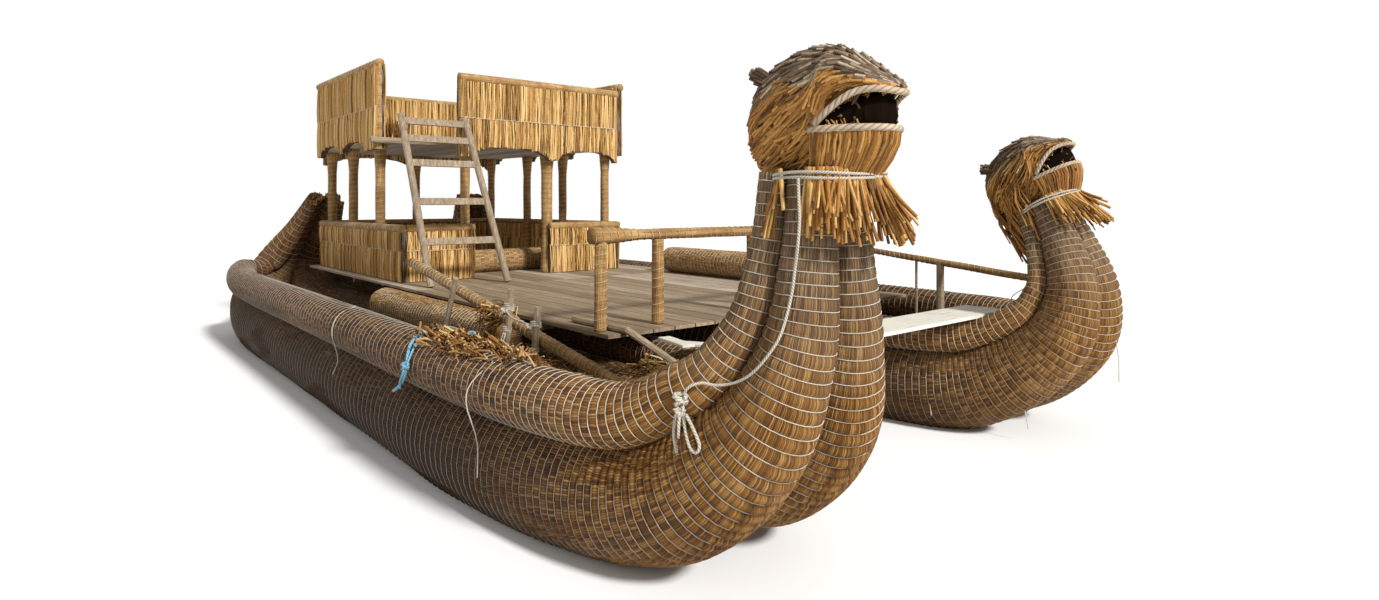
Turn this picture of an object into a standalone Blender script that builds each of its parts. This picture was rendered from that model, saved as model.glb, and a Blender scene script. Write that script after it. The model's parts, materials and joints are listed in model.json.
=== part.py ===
"""Twin-hull reed boat with a two-storey reed pavilion.

Metres, +X to the bow, +Y to port, +Z up. The origin lies amidships on the centre line, at the waterline.
Starboard and port hulls carry a plank deck between them, and each prow ends in a reed animal head.
"""
import math

import bmesh
import bpy
from mathutils import Euler, Matrix, Vector
from mathutils.bvhtree import BVHTree
from mathutils.geometry import convex_hull_2d

# Running clearance between touching pieces
GAP = 0.0003

# Hulls
HULL_OFFSET = 2.05          # hull's own centre plane from the boat's
SEAT_ANGLE = math.radians(60)   # gunwale roll's seat on a bundle, up from level
INNER_ROLL_RATIO = 0.70     # inner gunwale roll's radius as a share of the outer's
BUNDLE_SIDES = 12
HULL_RINGS = 32

BUNDLE_RADIUS = 0.50
ROLL_RADIUS = 0.215
AXIS_HEIGHT = 0.32          # of the hull's axis over the water, amidships
SEAT_CEILING = AXIS_HEIGHT + 2 * BUNDLE_RADIUS      # seats on the hulls are looked for below this
SEAT_STEPS = 8
EDGE_STEPS = 12

# Stern and middle, shared by both hulls: x, z of the hull's axis, bundle radius, outer gunwale roll radius,
# and the share of the stern's turn inboard
HULL_STATIONS = [
    (-5.05, 2.30, 0.13, 0.08, 1.00),
    (-5.45, 1.75, 0.20, 0.12, 0.75),
    (-5.75, 1.18, 0.30, 0.15, 0.40),
    (-5.50, 0.65, 0.42, 0.19, 0.10),
    (-4.60, 0.38, 0.49, 0.21, 0.00),
    (-3.20, AXIS_HEIGHT, BUNDLE_RADIUS, ROLL_RADIUS, 0.00),
    (-1.00, AXIS_HEIGHT, BUNDLE_RADIUS, ROLL_RADIUS, 0.00),
    (1.20, AXIS_HEIGHT, BUNDLE_RADIUS, ROLL_RADIUS, 0.00),
    (3.40, AXIS_HEIGHT, BUNDLE_RADIUS, ROLL_RADIUS, 0.00),
    (4.70, 0.36, 0.46, 0.21, 0.00),
]
# Each prow, from the last shared station up to the neck's top: the same columns
PROW_STATIONS = {
    "starboard": [
        (5.60, 0.50, 0.39, 0.19, 0.00),
        (6.15, 0.90, 0.31, 0.16, 0.00),
        (6.38, 1.40, 0.21, 0.12, 0.00),
        (6.42, 1.90, 0.155, 0.09, 0.00),
        (6.42, 2.36, 0.13, 0.078, 0.00),
    ],
    "port": [
        (5.42, 0.50, 0.39, 0.19, 0.00),
        (5.95, 0.90, 0.31, 0.16, 0.00),
        (6.10, 1.36, 0.23, 0.13, 0.00),
        (5.98, 1.82, 0.17, 0.10, 0.00),
        (5.79, 2.20, 0.13, 0.08, 0.00),
    ],
}
SIDES = {"starboard": -1, "port": 1}
STERN_INSET = {"starboard": 0.50, "port": 0.95}

# Heads
HEAD_LENGTH = 0.92
HEAD_WIDTH = 0.54
EAR_RADIUS = 0.04
EAR_LENGTH = 0.11
LIP_RADIUS = 0.018
JAW_WALL = 0.045
MOUTH_FLOOR = 0.10
TIE_RADIUS = 0.012
TIE_DROP = 0.032            # below the neck's top
TIE_SLACK = 0.0014
TIE_STEPS = 24
COLLAR_LIFT = 0.004
COLLAR_DROP = 0.42          # of the longest stems
COLLAR_FLARE = 0.12
COLLAR_WALL = 0.025
COLLAR_SWEEP = math.radians(112)
COLLAR_STEMS = 24
STEM_SWELL = 0.014          # a stem's outer side stands this far over the groove beside it
GROOVE_DROP = 0.74          # depth of a groove's foot as a share of the longest stem's
STEM_DROPS = (1.0, 0.86, 0.95, 0.81, 0.91, 0.99, 0.84)  # stems' lengths in turn, as a share of the longest

# Deck, carried on cross logs that lie on the inner gunwale rolls
LOG_RADIUS = 0.04
LOG_PLACES = (-2.60, 0.10, 2.90)
LOG_REACH = (-1.80, 2.24)   # y of the logs' ends
PLANK_THICKNESS = 0.03
DECK_FRONT = 4.05
DECK_BACK = -4.82
DECK_SIDES = (-1.85, 2.32)  # starboard and port edge
PLANK_COUNT = 18
PLANK_JOINT = 0.012
BATTEN_WIDTH = 0.09
BATTEN_PLACES = (-4.4, -1.4, 1.5, 3.6)
JOINT_BATTENS = (1, 2)      # battens that the plank rows' butt joints lie on, row by row in turn

# Pavilion posts: name, x, y, radius
POST_RADIUS = 0.065
DOOR_POST_RADIUS = 0.085
FRONT_X = -1.10
BACK_X = -4.60
STARBOARD_Y = -1.55
FRONT_PORT_Y = 1.62
BACK_PORT_Y = 1.35
DOOR_STARBOARD_Y = -0.75
DOOR_PORT_Y = 0.56
POSTS = [
    ("front_door_starboard", FRONT_X, DOOR_STARBOARD_Y, POST_RADIUS),
    ("front_door_port", FRONT_X, DOOR_PORT_Y, DOOR_POST_RADIUS),
    ("front_port", FRONT_X, FRONT_PORT_Y, POST_RADIUS),
    ("starboard_fore", -2.20, STARBOARD_Y, POST_RADIUS),
    ("starboard_aft", -3.45, STARBOARD_Y, POST_RADIUS),
    ("back_starboard", BACK_X, STARBOARD_Y, POST_RADIUS),
    ("back_middle", BACK_X, -0.12, POST_RADIUS),
    ("back_port", BACK_X, BACK_PORT_Y, POST_RADIUS),
]
PORT_POST_PLACES = {"port_aft": -3.35, "port_fore": -2.25}
WALL_HEIGHT = 0.76
WALL_THICKNESS = 0.07
FLOOR_TOP = 3.10
FLOOR_THICKNESS = 0.05
JOIST_DEPTH = 0.08
PARAPET_THICKNESS = 0.08
FOOT_FLARE = 1.15           # posts swell at foot and head
HEAD_FLARE = 1.45
WALL_ROLL_RADIUS = 0.048    # rolled top edges
PARAPET_ROLL_RADIUS = 0.055
ROLL_SINK = 0.003           # of an edge roll in its panel
END_ROLL_SHARE = 0.96       # an upright edge roll's radius as a share of the top roll's
PARAPET_BOTTOM = 2.84
FRONT_PARAPET_TOP = 4.00
SIDE_PARAPET_TOP = 4.22
BACK_PARAPET_TOP = 4.12
ARCH_RISE = 0.16
NOTCH_BACK = -1.75          # the ladder's well in the upper floor
NOTCH_PORT = -0.92

# Ladder in the notch: foot and head of each stile
STILE_RADIUS = 0.045
LADDER_FOOT_X = -0.13
LADDER_TOP = 3.36
STARBOARD_STILE_Y = (-1.62, -1.75)  # foot, head
PORT_STILE_Y = (-0.58, -0.88)
RUNG_HEIGHTS = (1.71, 2.22, 2.72, 3.04, 3.27)
RUNG_WIDTH = 0.09
RUNG_THICKNESS = 0.025

# Front railing, across the deck
RAIL_X = 3.85
RAIL_TOP = 1.93
RAIL_POST_RADIUS = 0.05
RAIL_POSTS = (("starboard", -1.79), ("middle", -1.19), ("port", -0.02))
RAIL_POLE_RADIUS = 0.042
RAIL_POLE_END = 1.75
BRACE_RADIUS = 0.035
BRACE_FOOT_Y = 0.95
BRACE_HEAD_Y = 0.09
BRACE_LASHING = 0.012       # how far the brace's lashing lets it bite into the pole

# Loose rolls, poles and boards
SIDE_ROLL_RADIUS = 0.19
SIDE_ROLL = (0.0, 3.55, 2.10)   # aft end x, fore end x, y
FILLER_RADIUS = 0.11        # roll in the groove between the bundles
FILLER = (-3.6, 3.9)
LOOSE_ROLL_RADIUS = 0.19
LOOSE_ROLL = (-0.55, 2.65)
POLE_RADIUS = 0.045
POLE_AFT = (0.89, -2.24, 1.56)
POLE_FORE_X = 5.30
STAKES = (("aft", 1.86, 2.20, 0.72), ("middle", 3.20, 3.31, 0.72), ("fore", 3.66, 3.76, 0.62))
STAKE_RADIUS = 0.028
SPAR_RADIUS = 0.03
SPAR_AFT = (3.30, -1.70)
SPAR_FORE = (4.82, -1.50)
BOARD_THICKNESS = 0.03
BOW_BOARD = (4.95, 5.40, -1.62, 2.02)   # x from and to, y from and to
PORT_POLE_RADIUS = 0.032
PORT_POLE = ((3.35, 2.66, 1.60), (5.62, 2.36, 1.42))
PORT_POLE_POSTS = ((4.02, 0.016), (4.36, 0.045))    # x, radius
BENCH_RADIUS = 0.17
BENCH = (-0.50, 0.95, -1.75)    # y from, y to, x

# Cords: points that each route was laid through, from the end that is made fast
BLUE_ROPE_RADIUS = 0.013
BLUE_ROPE = [
    (3.175, -2.352, 0.985),
    (3.06, -2.358, 0.972),
    (2.95, -2.385, 0.965),
    (2.872, -2.435, 0.990),
    (2.865, -2.505, 1.045),
    (2.90, -2.60, 1.115),
    (2.96, -2.70, 1.1545),
    (3.00, -2.80, 1.1675),
    (3.02, -2.90, 1.1685),
    (3.08, -3.00, 1.1515),
    (3.14, -3.085, 1.100),
    (3.21, -3.135, 1.020),
    (3.23, -3.150, 0.945),
    (3.19, -3.150, 0.880),
    (3.10, -3.135, 0.805),
    (2.92, -3.105, 0.725),
    (2.73, -3.075, 0.655),
]
NECK_LINE_RADIUS = 0.008
NECK_LINE = [
    (6.500, -2.384, 2.325),
    (6.520, -2.402, 2.225),
    (6.545, -2.425, 2.120),
    (6.560, -2.452, 2.017),
    (6.535, -2.435, 1.940),
    (6.500, -2.410, 1.860),
    (6.480, -2.405, 1.761),
    (6.462, -2.425, 1.638),
    (6.440, -2.455, 1.527),
    (6.400, -2.490, 1.440),
    (6.340, -2.515, 1.360),
    (6.270, -2.535, 1.300),
    (6.190, -2.560, 1.262),
    (6.120, -2.605, 1.250),
    (6.075, -2.655, 1.262),
    (6.030, -2.700, 1.240),
    (5.990, -2.712, 1.190),
]
CORD_STEPS = 60


def clear_scene():
    """Take out whatever the open scene holds."""
    for old in list(bpy.data.objects):
        bpy.data.objects.remove(old, do_unlink=True)


def new_collection(name):
    """A collection linked to the scene."""
    collection = bpy.data.collections.new(name)
    bpy.context.scene.collection.children.link(collection)
    return collection


def material(name, colour, roughness):
    """A plain Principled material."""
    made = bpy.data.materials.new(name)
    made.use_nodes = True
    shader = made.node_tree.nodes["Principled BSDF"]
    shader.inputs["Base Color"].default_value = (*colour, 1.0)
    shader.inputs["Roughness"].default_value = roughness
    shader.inputs["Metallic"].default_value = 0.0
    made.diffuse_color = (*colour, 1.0)
    return made


COLOURS = {
    "reed": (0.55, 0.36, 0.14),
    "weathered_reed": (0.42, 0.30, 0.17),
    "dark_reed": (0.20, 0.12, 0.06),
    "fringe_reed": (0.62, 0.38, 0.12),
    "grey_wood": (0.36, 0.31, 0.26),
    "white_board": (0.80, 0.78, 0.72),
    "rope": (0.78, 0.74, 0.66),
    "blue_rope": (0.35, 0.55, 0.70),
}


def finish(obj, colour):
    """Give an object its own material and put it in the boat's collection."""
    obj.data.materials.clear()
    obj.data.materials.append(material(obj.name + "_finish", COLOURS[colour], 0.8))
    for owner in list(obj.users_collection):
        owner.objects.unlink(obj)
    BOAT.objects.link(obj)
    return obj


def smooth_path(route, count):
    """Count points on a smooth curve through the route's rows; every column is smoothed alike."""
    rows = [Vector(row) for row in route]
    rows = [2 * rows[0] - rows[1]] + rows + [2 * rows[-1] - rows[-2]]
    spans = len(rows) - 3
    made = []
    for step in range(count):
        place = step * spans / (count - 1)
        span = min(int(place), spans - 1)
        t = place - span
        before, start, end, after = rows[span:span + 4]
        made.append(
            0.5 * (2 * start + (end - before) * t
                   + (2 * before - 5 * start + 4 * end - after) * t ** 2
                   + (3 * start - before - 3 * end + after) * t ** 3))
    return made


def loft(name, loops, colour, closed=False):
    """A body through rings of equal count: capped flat at both ends, or closed on itself."""
    shape = bmesh.new()
    rows = []
    for ring in loops:
        corners = [shape.verts.new(point) for point in ring]
        rows.append([shape.edges.new((corners[i], corners[(i + 1) % len(corners)]))
                     for i in range(len(corners))])
    for first, second in zip(rows, rows[1:]):
        bmesh.ops.bridge_loops(shape, edges=first + second)
    if closed:
        bmesh.ops.bridge_loops(shape, edges=rows[-1] + rows[0])
    else:
        bmesh.ops.edgeloop_fill(shape, edges=rows[0])
        bmesh.ops.edgeloop_fill(shape, edges=rows[-1])
    bmesh.ops.recalc_face_normals(shape, faces=shape.faces)
    data = bpy.data.meshes.new(name)
    shape.to_mesh(data)
    shape.free()
    obj = bpy.data.objects.new(name, data)
    BOAT.objects.link(obj)
    return finish(obj, colour)


def bar(name, points, radii, colour, sides=8, across=(0, 1, 0)):
    """A round bar or roll along points, with ring corners straight across; radii is one or one for each point."""
    points = [Vector(point) for point in points]
    if not isinstance(radii, (list, tuple)):
        radii = [radii] * len(points)
    rings = []
    for index, (place, radius) in enumerate(zip(points, radii)):
        run = (points[min(index + 1, len(points) - 1)] - points[max(index - 1, 0)]).normalized()
        side = Vector(across)
        side = (side - run * side.dot(run)).normalized()
        up = run.cross(side)
        rings.append([place + radius * (side * math.cos(turn) + up * math.sin(turn))
                      for turn in (2 * math.pi * step / sides for step in range(sides))])
    return loft(name, rings, colour)


def cord(name, points, radius, colour, closed=False):
    """A rope or twine along points, as a curve."""
    curve = bpy.data.curves.new(name, "CURVE")
    curve.dimensions = "3D"
    curve.bevel_depth = radius
    curve.bevel_resolution = 2
    curve.use_fill_caps = True
    curve.render_resolution_u = 0
    spline = curve.splines.new("POLY")
    spline.points.add(len(points) - 1)
    for target, place in zip(spline.points, points):
        target.co = (*place, 1.0)
    spline.use_cyclic_u = closed
    obj = bpy.data.objects.new(name, curve)
    BOAT.objects.link(obj)
    return finish(obj, colour)


def as_mesh(obj):
    """The curve object as a welded mesh object of the same name."""
    bpy.context.view_layer.update()
    graph = bpy.context.evaluated_depsgraph_get()
    data = bpy.data.meshes.new_from_object(obj.evaluated_get(graph))
    shape = bmesh.new()
    shape.from_mesh(data)
    bmesh.ops.remove_doubles(shape, verts=shape.verts, dist=0.00001)
    shape.to_mesh(data)
    shape.free()
    name = obj.name
    place = obj.matrix_world.copy()
    bpy.data.objects.remove(obj, do_unlink=True)
    made = bpy.data.objects.new(name, data)
    made.matrix_world = place
    BOAT.objects.link(made)
    return made


def block(name, low, high, colour, rotation=(0, 0, 0)):
    """A box between two corners, turned about its own middle."""
    low, high = Vector(low), Vector(high)
    shape = bmesh.new()
    bmesh.ops.create_cube(shape, size=1.0)
    bmesh.ops.scale(shape, vec=high - low, verts=shape.verts)
    data = bpy.data.meshes.new(name)
    shape.to_mesh(data)
    shape.free()
    obj = bpy.data.objects.new(name, data)
    obj.location = (low + high) / 2
    obj.rotation_euler = Euler(rotation)
    BOAT.objects.link(obj)
    return finish(obj, colour)


def union(main, others):
    """Join the others into main by Boolean union; the others become guides."""
    for other in others:
        join = main.modifiers.new("join_" + other.name, "BOOLEAN")
        join.operation = "UNION"
        join.solver = "EXACT"
        join.object = other
        as_guide(other)
    return main


def cut(main, cutter):
    """Cut the cutter's shape out of main."""
    chop = main.modifiers.new("cut_" + cutter.name, "BOOLEAN")
    chop.operation = "DIFFERENCE"
    chop.solver = "EXACT"
    chop.object = cutter
    as_guide(cutter)
    return main


def as_guide(obj):
    """Keep a cutter or a joined piece out of the model."""
    obj.hide_render = True
    obj.display_type = "WIRE"
    for owner in list(obj.users_collection):
        owner.objects.unlink(obj)
    GUIDES.objects.link(obj)


def panel(name, outline, thickness, place, facing, colour):
    """A flat panel from its outline in (along, up), standing at place and turned by facing about Z."""
    curve = bpy.data.curves.new(name, "CURVE")
    curve.dimensions = "2D"
    curve.fill_mode = "BOTH"
    curve.extrude = thickness / 2
    curve.render_resolution_u = 0
    spline = curve.splines.new("POLY")
    spline.points.add(len(outline) - 1)
    for target, (along, up) in zip(spline.points, outline):
        target.co = (along, up, 0.0, 1.0)
    spline.use_cyclic_u = True
    obj = bpy.data.objects.new(name, curve)
    obj.location = place
    obj.rotation_euler = Euler((math.radians(90), 0, facing))
    BOAT.objects.link(obj)
    finish(obj, colour)
    return as_mesh_finished(obj, colour)


def as_mesh_finished(obj, colour):
    """Weld a curve into a mesh and give it its finish again."""
    return finish(as_mesh(obj), colour)


def hull_axis(side):
    """Rings along one hull: x, z, bundle radius, gunwale roll radius, share of the turn inboard."""
    return smooth_path(HULL_STATIONS + PROW_STATIONS[side], HULL_RINGS)


def upward_normals(axis):
    """Unit normals of the axis in the X-Z plane, pointing to the inside of the hull's curl."""
    normals = []
    for index in range(len(axis)):
        before = axis[max(index - 1, 0)]
        after = axis[min(index + 1, len(axis) - 1)]
        run = Vector((after[0] - before[0], 0, after[1] - before[1])).normalized()
        normals.append(Vector((-run.z, 0, run.x)))
    return normals


def hull_lines(side):
    """Paths and radii of one hull's two bundles and two gunwale rolls."""
    axis = hull_axis(side)
    lines = {}
    for row, outward in (("outer", SIDES[side]), ("inner", -SIDES[side])):
        ratio = 1.0 if row == "outer" else INNER_ROLL_RATIO
        bundle, bundle_radii, roll, roll_radii = [], [], [], []
        for (x, z, radius, roll_radius, turn), normal in zip(axis, upward_normals(axis)):
            roll_radius *= ratio
            centre = SIDES[side] * (HULL_OFFSET - turn * STERN_INSET[side])
            middle = Vector((x, centre + outward * (radius + GAP / 2), z))
            seat = Vector((0, outward * math.cos(SEAT_ANGLE), 0)) + normal * math.sin(SEAT_ANGLE)
            bundle.append(middle)
            bundle_radii.append(radius)
            roll.append(middle + seat * (radius + roll_radius + GAP))
            roll_radii.append(roll_radius)
        lines["bundle_" + row] = (bundle, bundle_radii)
        lines["gunwale_" + row] = (roll, roll_radii)
    return lines


def build_hull(side):
    """Two bundles and two gunwale rolls, from stern tip to neck, and the filler roll in their groove.

    All rings of one station lie in the same plane, so the pieces touch along their facing edges.
    """
    normals = upward_normals(hull_axis(side))
    for row, (points, radii) in hull_lines(side).items():
        rings = []
        for middle, radius, normal in zip(points, radii, normals):
            rings.append([
                middle + radius * (Vector((0, math.cos(turn), 0)) + normal * math.sin(turn))
                for turn in (2 * math.pi * step / BUNDLE_SIDES for step in range(BUNDLE_SIDES))])
        loft(f"{side}_{row}", rings, "weathered_reed")
    height = AXIS_HEIGHT + BUNDLE_RADIUS
    y = SIDES[side] * HULL_OFFSET
    filler = bar(f"{side}_filler_roll", [(FILLER[0], y, height), (FILLER[1], y, height)], FILLER_RADIUS,
                 "weathered_reed", sides=BUNDLE_SIDES)
    settle(filler, bundles(side))


def seat_height(names, places):
    """Highest point of the named pieces straight under or over the plan places."""
    heights = []
    for name in names:
        source = bpy.data.objects[name].data
        tree = BVHTree.FromPolygons([vert.co for vert in source.vertices],
                                    [face.vertices for face in source.polygons])
        for x, y in places:
            hit = tree.ray_cast(Vector((x, y, SEAT_CEILING)), Vector((0, 0, -1)))[0]
            if hit is not None:
                heights.append(hit.z)
    return max(heights)


def square_seat(names, x, y, reach):
    """Highest point of the named pieces under a foot that reaches the same way in x and y."""
    steps = [reach * (index / SEAT_STEPS - 1) for index in range(2 * SEAT_STEPS + 1)]
    return seat_height(names, [(x + i, y + j) for i in steps for j in steps])


def surface(obj):
    """Search tree over an object's own mesh."""
    return BVHTree.FromPolygons([vert.co for vert in obj.data.vertices],
                                [face.vertices for face in obj.data.polygons])


def edge_points(obj, low, high):
    """Points along the edges of an object that lie inside a plan rectangle."""
    points = []
    corners = obj.data.vertices
    for edge in obj.data.edges:
        start, end = (corners[index].co for index in edge.vertices)
        for step in range(EDGE_STEPS + 1):
            point = start.lerp(end, step / EDGE_STEPS)
            if low.x <= point.x <= high.x and low.y <= point.y <= high.y:
                points.append(point)
    return points


def settle(piece, names):
    """Lower or raise a piece until it rests GAP over the named pieces."""
    corners = [vert.co for vert in piece.data.vertices]
    low = Vector((min(point.x for point in corners), min(point.y for point in corners)))
    high = Vector((max(point.x for point in corners), max(point.y for point in corners)))
    own = surface(piece)
    rooms = []
    for name in names:
        base = bpy.data.objects[name]
        tree = surface(base)
        for point in edge_points(piece, low, high):
            hit = tree.ray_cast(Vector((point.x, point.y, SEAT_CEILING)), Vector((0, 0, -1)))[0]
            if hit is not None:
                rooms.append(point.z - hit.z)
        for point in edge_points(base, low, high):
            hit = own.ray_cast(Vector((point.x, point.y, -SEAT_CEILING)), Vector((0, 0, 1)))[0]
            if hit is not None and point.z > AXIS_HEIGHT:
                rooms.append(hit.z - point.z)
    piece.data.transform(Matrix.Translation((0, 0, GAP - min(rooms))))
    return piece


def stand(piece, height):
    """Lower or raise a piece until its lowest corner is at a height."""
    lowest = min(vert.co.z for vert in piece.data.vertices)
    piece.data.transform(Matrix.Translation((0, 0, height - lowest)))
    return piece


def bundles(side):
    """Names of one hull's two bundles."""
    return (f"{side}_bundle_outer", f"{side}_bundle_inner")


def oval(x, half_width, top, bottom, sides=14):
    """One upright oval ring across the head's own X axis."""
    middle = (top + bottom) / 2
    half_height = (top - bottom) / 2
    return [Vector((x, half_width * math.cos(turn), middle + half_height * math.sin(turn)))
            for turn in (2 * math.pi * step / sides for step in range(sides))]


def jaw_ring(front, half_width, height, inset=0.0, sides=12):
    """A level ring, flat at the back and half-elliptic at the front."""
    ring = []
    for step in range(sides + 1):
        turn = -math.pi / 2 + math.pi * step / sides
        ring.append(Vector((
            JAW_BACK + inset + (front - JAW_BACK - 2 * inset) * math.cos(turn),
            (half_width - inset) * math.sin(turn), height)))
    return ring


# Skull sections from nape to nose: x share of length, half width share, top and bottom over the neck's top
SKULL_SECTIONS = [
    (-0.50, 0.30, 0.38, 0.14),
    (-0.45, 0.64, 0.47, 0.03),
    (-0.33, 0.92, 0.59, -0.04),
    (-0.16, 1.00, 0.66, -0.05),
    (-0.04, 1.00, 0.665, -0.05),
    (-0.01, 0.98, 0.665, 0.21),
    (0.18, 0.86, 0.61, 0.29),
    (0.34, 0.66, 0.52, 0.335),
    (0.45, 0.42, 0.44, 0.35),
]
# Jaw rings from the neck up: height over the neck's top, front, half width
JAW_RINGS = [
    (0.0, 0.19, 0.20),
    (0.07, 0.28, 0.235),
    (0.11, 0.33, 0.245),
    (0.14, 0.37, 0.25),
    (0.185, 0.41, 0.255),
]
JAW_BACK = 0.005
# The collar's top ring round the two bundles, as shares of a bundle's radius and of their width
COLLAR_REACH = 1.16
COLLAR_BREADTH = 1.11


def neck_top(side):
    """Where the head sits: the head's frame, and the bundle radius at the neck's top."""
    axis = hull_axis(side)
    last, before = axis[-1], axis[-2]
    place = Vector((last[0], SIDES[side] * HULL_OFFSET, last[1]))
    lean = math.atan2(last[0] - before[0], last[1] - before[1])
    return Matrix.Translation(place) @ Matrix.Rotation(lean, 4, "Y"), last[2]


def build_head(side):
    """Skull with its upper jaw and ears, and the hollow lower jaw with its rolled lip."""
    frame, _ = neck_top(side)
    frame = frame @ Matrix.Translation((0, 0, GAP))
    half = HEAD_WIDTH / 2

    def placed(points):
        return [frame @ point for point in points]

    skull = loft(f"{side}_skull",
                 [placed(oval(x * HEAD_LENGTH, width * half, top, bottom))
                  for x, width, top, bottom in SKULL_SECTIONS], "reed")
    ears = []
    for index, outward in enumerate((-1, 1)):
        root = Vector((-0.27 * HEAD_LENGTH, outward * half * 0.62, 0.50))
        tip = root + Vector((-0.62, outward * 0.5, 0.45)).normalized() * EAR_LENGTH
        ears.append(bar(f"{side}_ear_{index}", placed([root, tip]), EAR_RADIUS, "dark_reed"))
    union(skull, ears)
    base = block(f"{side}_seat_cutter", (-HEAD_LENGTH, -HEAD_WIDTH, -0.3), (HEAD_LENGTH, HEAD_WIDTH, 0), "reed")
    base.matrix_world = frame @ base.matrix_basis
    cut(skull, base)

    jaw = loft(f"{side}_jaw", [placed(jaw_ring(front, width, height)) for height, front, width in JAW_RINGS],
               "fringe_reed")
    top = JAW_RINGS[-1]
    rings = [ring for ring in JAW_RINGS if MOUTH_FLOOR < ring[0] < top[0]]
    rings.append((top[0] + JAW_WALL, top[1], top[2]))
    hollow = loft(f"{side}_mouth_cutter",
                  [placed(jaw_ring(front, width, height, JAW_WALL)) for height, front, width in rings], "reed")
    lip_path = [point for point in jaw_ring(top[1], top[2], top[0], LIP_RADIUS) if point.x > JAW_BACK + 0.03]
    lip = bar(f"{side}_lip", placed(lip_path), LIP_RADIUS, "rope", across=(0, 0, 1))
    cut(jaw, hollow)
    union(jaw, [lip])


def collar_point(radius, share, height, spread):
    """A point of the collar in the head's frame, a share of the way round the front of the two bundles."""
    turn = COLLAR_SWEEP * (2 * share - 1)
    return Vector(((radius * COLLAR_REACH + spread) * math.cos(turn),
                   (2 * radius * COLLAR_BREADTH + spread) * math.sin(turn), height))


def build_collar(side):
    """The flaring skirt of cut reed stems under the jaw, and the rope that ties it to the neck."""
    frame, radius = neck_top(side)
    loops = []
    for step in range(2 * COLLAR_STEMS + 1):
        share = step / (2 * COLLAR_STEMS)
        ridge = step % 2
        drop = COLLAR_DROP * (STEM_DROPS[step // 2 % len(STEM_DROPS)] if ridge else GROOVE_DROP)
        flare = COLLAR_FLARE * drop / COLLAR_DROP
        corners = (
            (-GAP, COLLAR_LIFT),
            (-GAP, COLLAR_LIFT + COLLAR_WALL),
            (-drop, flare + COLLAR_WALL + STEM_SWELL * ridge),
            (-drop, flare),
        )
        loops.append([frame @ collar_point(radius, share, height, spread) for height, spread in corners])
    loft(f"{side}_collar", loops, "fringe_reed")

    points = []
    lowered = frame.inverted()
    for row in ("gunwale_outer", "gunwale_inner"):
        centres, sizes = hull_lines(side)[row]
        share = TIE_DROP / (centres[-1] - centres[-2]).length
        centre = lowered @ centres[-1].lerp(centres[-2], share)
        size = sizes[-1] + (sizes[-2] - sizes[-1]) * share + TIE_RADIUS + TIE_SLACK
        for step in range(TIE_STEPS):
            turn = 2 * math.pi * step / TIE_STEPS
            points.append(Vector((centre.x + size * math.cos(turn), centre.y + size * math.sin(turn))))
    spread = (COLLAR_FLARE + STEM_SWELL) * TIE_DROP / COLLAR_DROP + COLLAR_LIFT + COLLAR_WALL
    for step in range(TIE_STEPS + 1):
        point = collar_point(radius, step / TIE_STEPS, -TIE_DROP, spread + TIE_RADIUS + TIE_SLACK)
        points.append(Vector((point.x, point.y)))
    hull = [points[index] for index in convex_hull_2d(points)]
    ring = [frame @ Vector((point.x, point.y, -TIE_DROP)) for point in hull]
    cord(f"{side}_neck_tie", ring, TIE_RADIUS, "rope", closed=True)


def inner_roll_seat(side, low, high):
    """Height of the inner gunwale roll's top between two x, found on its edges."""
    shape = bpy.data.objects[f"{side}_gunwale_inner"].data
    heights = []
    for edge in shape.edges:
        first, second = sorted((shape.vertices[index].co for index in edge.vertices), key=lambda point: point.x)
        if first.x < high and second.x > low and first.z < SEAT_CEILING:
            for x in (max(low, first.x), min(high, second.x)):
                heights.append(first.lerp(second, (x - first.x) / (second.x - first.x)).z)
    return max(heights)


def deck_levels():
    """Middle height of the cross logs and the deck's top, from the rolls that carry them."""
    seat = max(inner_roll_seat(side, x - LOG_RADIUS, x + LOG_RADIUS) for side in SIDES for x in LOG_PLACES)
    log_height = seat + GAP + LOG_RADIUS
    return log_height, log_height + LOG_RADIUS + GAP + PLANK_THICKNESS


def build_deck():
    """Cross logs from hull to hull, and the planks with battens fused beneath."""
    for index, x in enumerate(LOG_PLACES):
        bar(f"cross_log_{index + 1}", [(x, LOG_REACH[0], LOG_HEIGHT), (x, LOG_REACH[1], LOG_HEIGHT)],
            LOG_RADIUS, "grey_wood", sides=12, across=(1, 0, 0))
    planks = []
    starboard, port = DECK_SIDES
    pitch = (port - starboard + PLANK_JOINT) / PLANK_COUNT
    for index in range(PLANK_COUNT):
        low = starboard + index * pitch
        joint = BATTEN_PLACES[JOINT_BATTENS[index % len(JOINT_BATTENS)]] + BATTEN_WIDTH / 2
        for end, (start, stop) in enumerate(((DECK_BACK, joint - PLANK_JOINT / 2),
                                             (joint + PLANK_JOINT / 2, DECK_FRONT))):
            planks.append(block(f"plank_{index}_{end}", (start, low, DECK_TOP - PLANK_THICKNESS),
                                (stop, low + pitch - PLANK_JOINT, DECK_TOP), "grey_wood"))
    for index, x in enumerate(BATTEN_PLACES):
        planks.append(block(f"batten_{index}",
                            (x, starboard + 0.05, DECK_TOP - PLANK_THICKNESS - 0.03),
                            (x + BATTEN_WIDTH, port - 0.05, DECK_TOP - PLANK_THICKNESS / 2),
                            "grey_wood"))
    deck = planks[-1]
    deck.name = "deck"
    union(deck, planks[:-1])


def port_line(x, out):
    """y of the pavilion's slanted port side at x, out beyond the middles of its posts."""
    slope = (FRONT_PORT_Y - BACK_PORT_Y) / (FRONT_X - BACK_X)
    return BACK_PORT_Y + (x - BACK_X) * slope + out * math.hypot(1, slope)


def post_places():
    """Every pavilion post: name, x, y, radius."""
    return POSTS + [(name, x, port_line(x, 0.0), POST_RADIUS) for name, x in PORT_POST_PLACES.items()]


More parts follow.
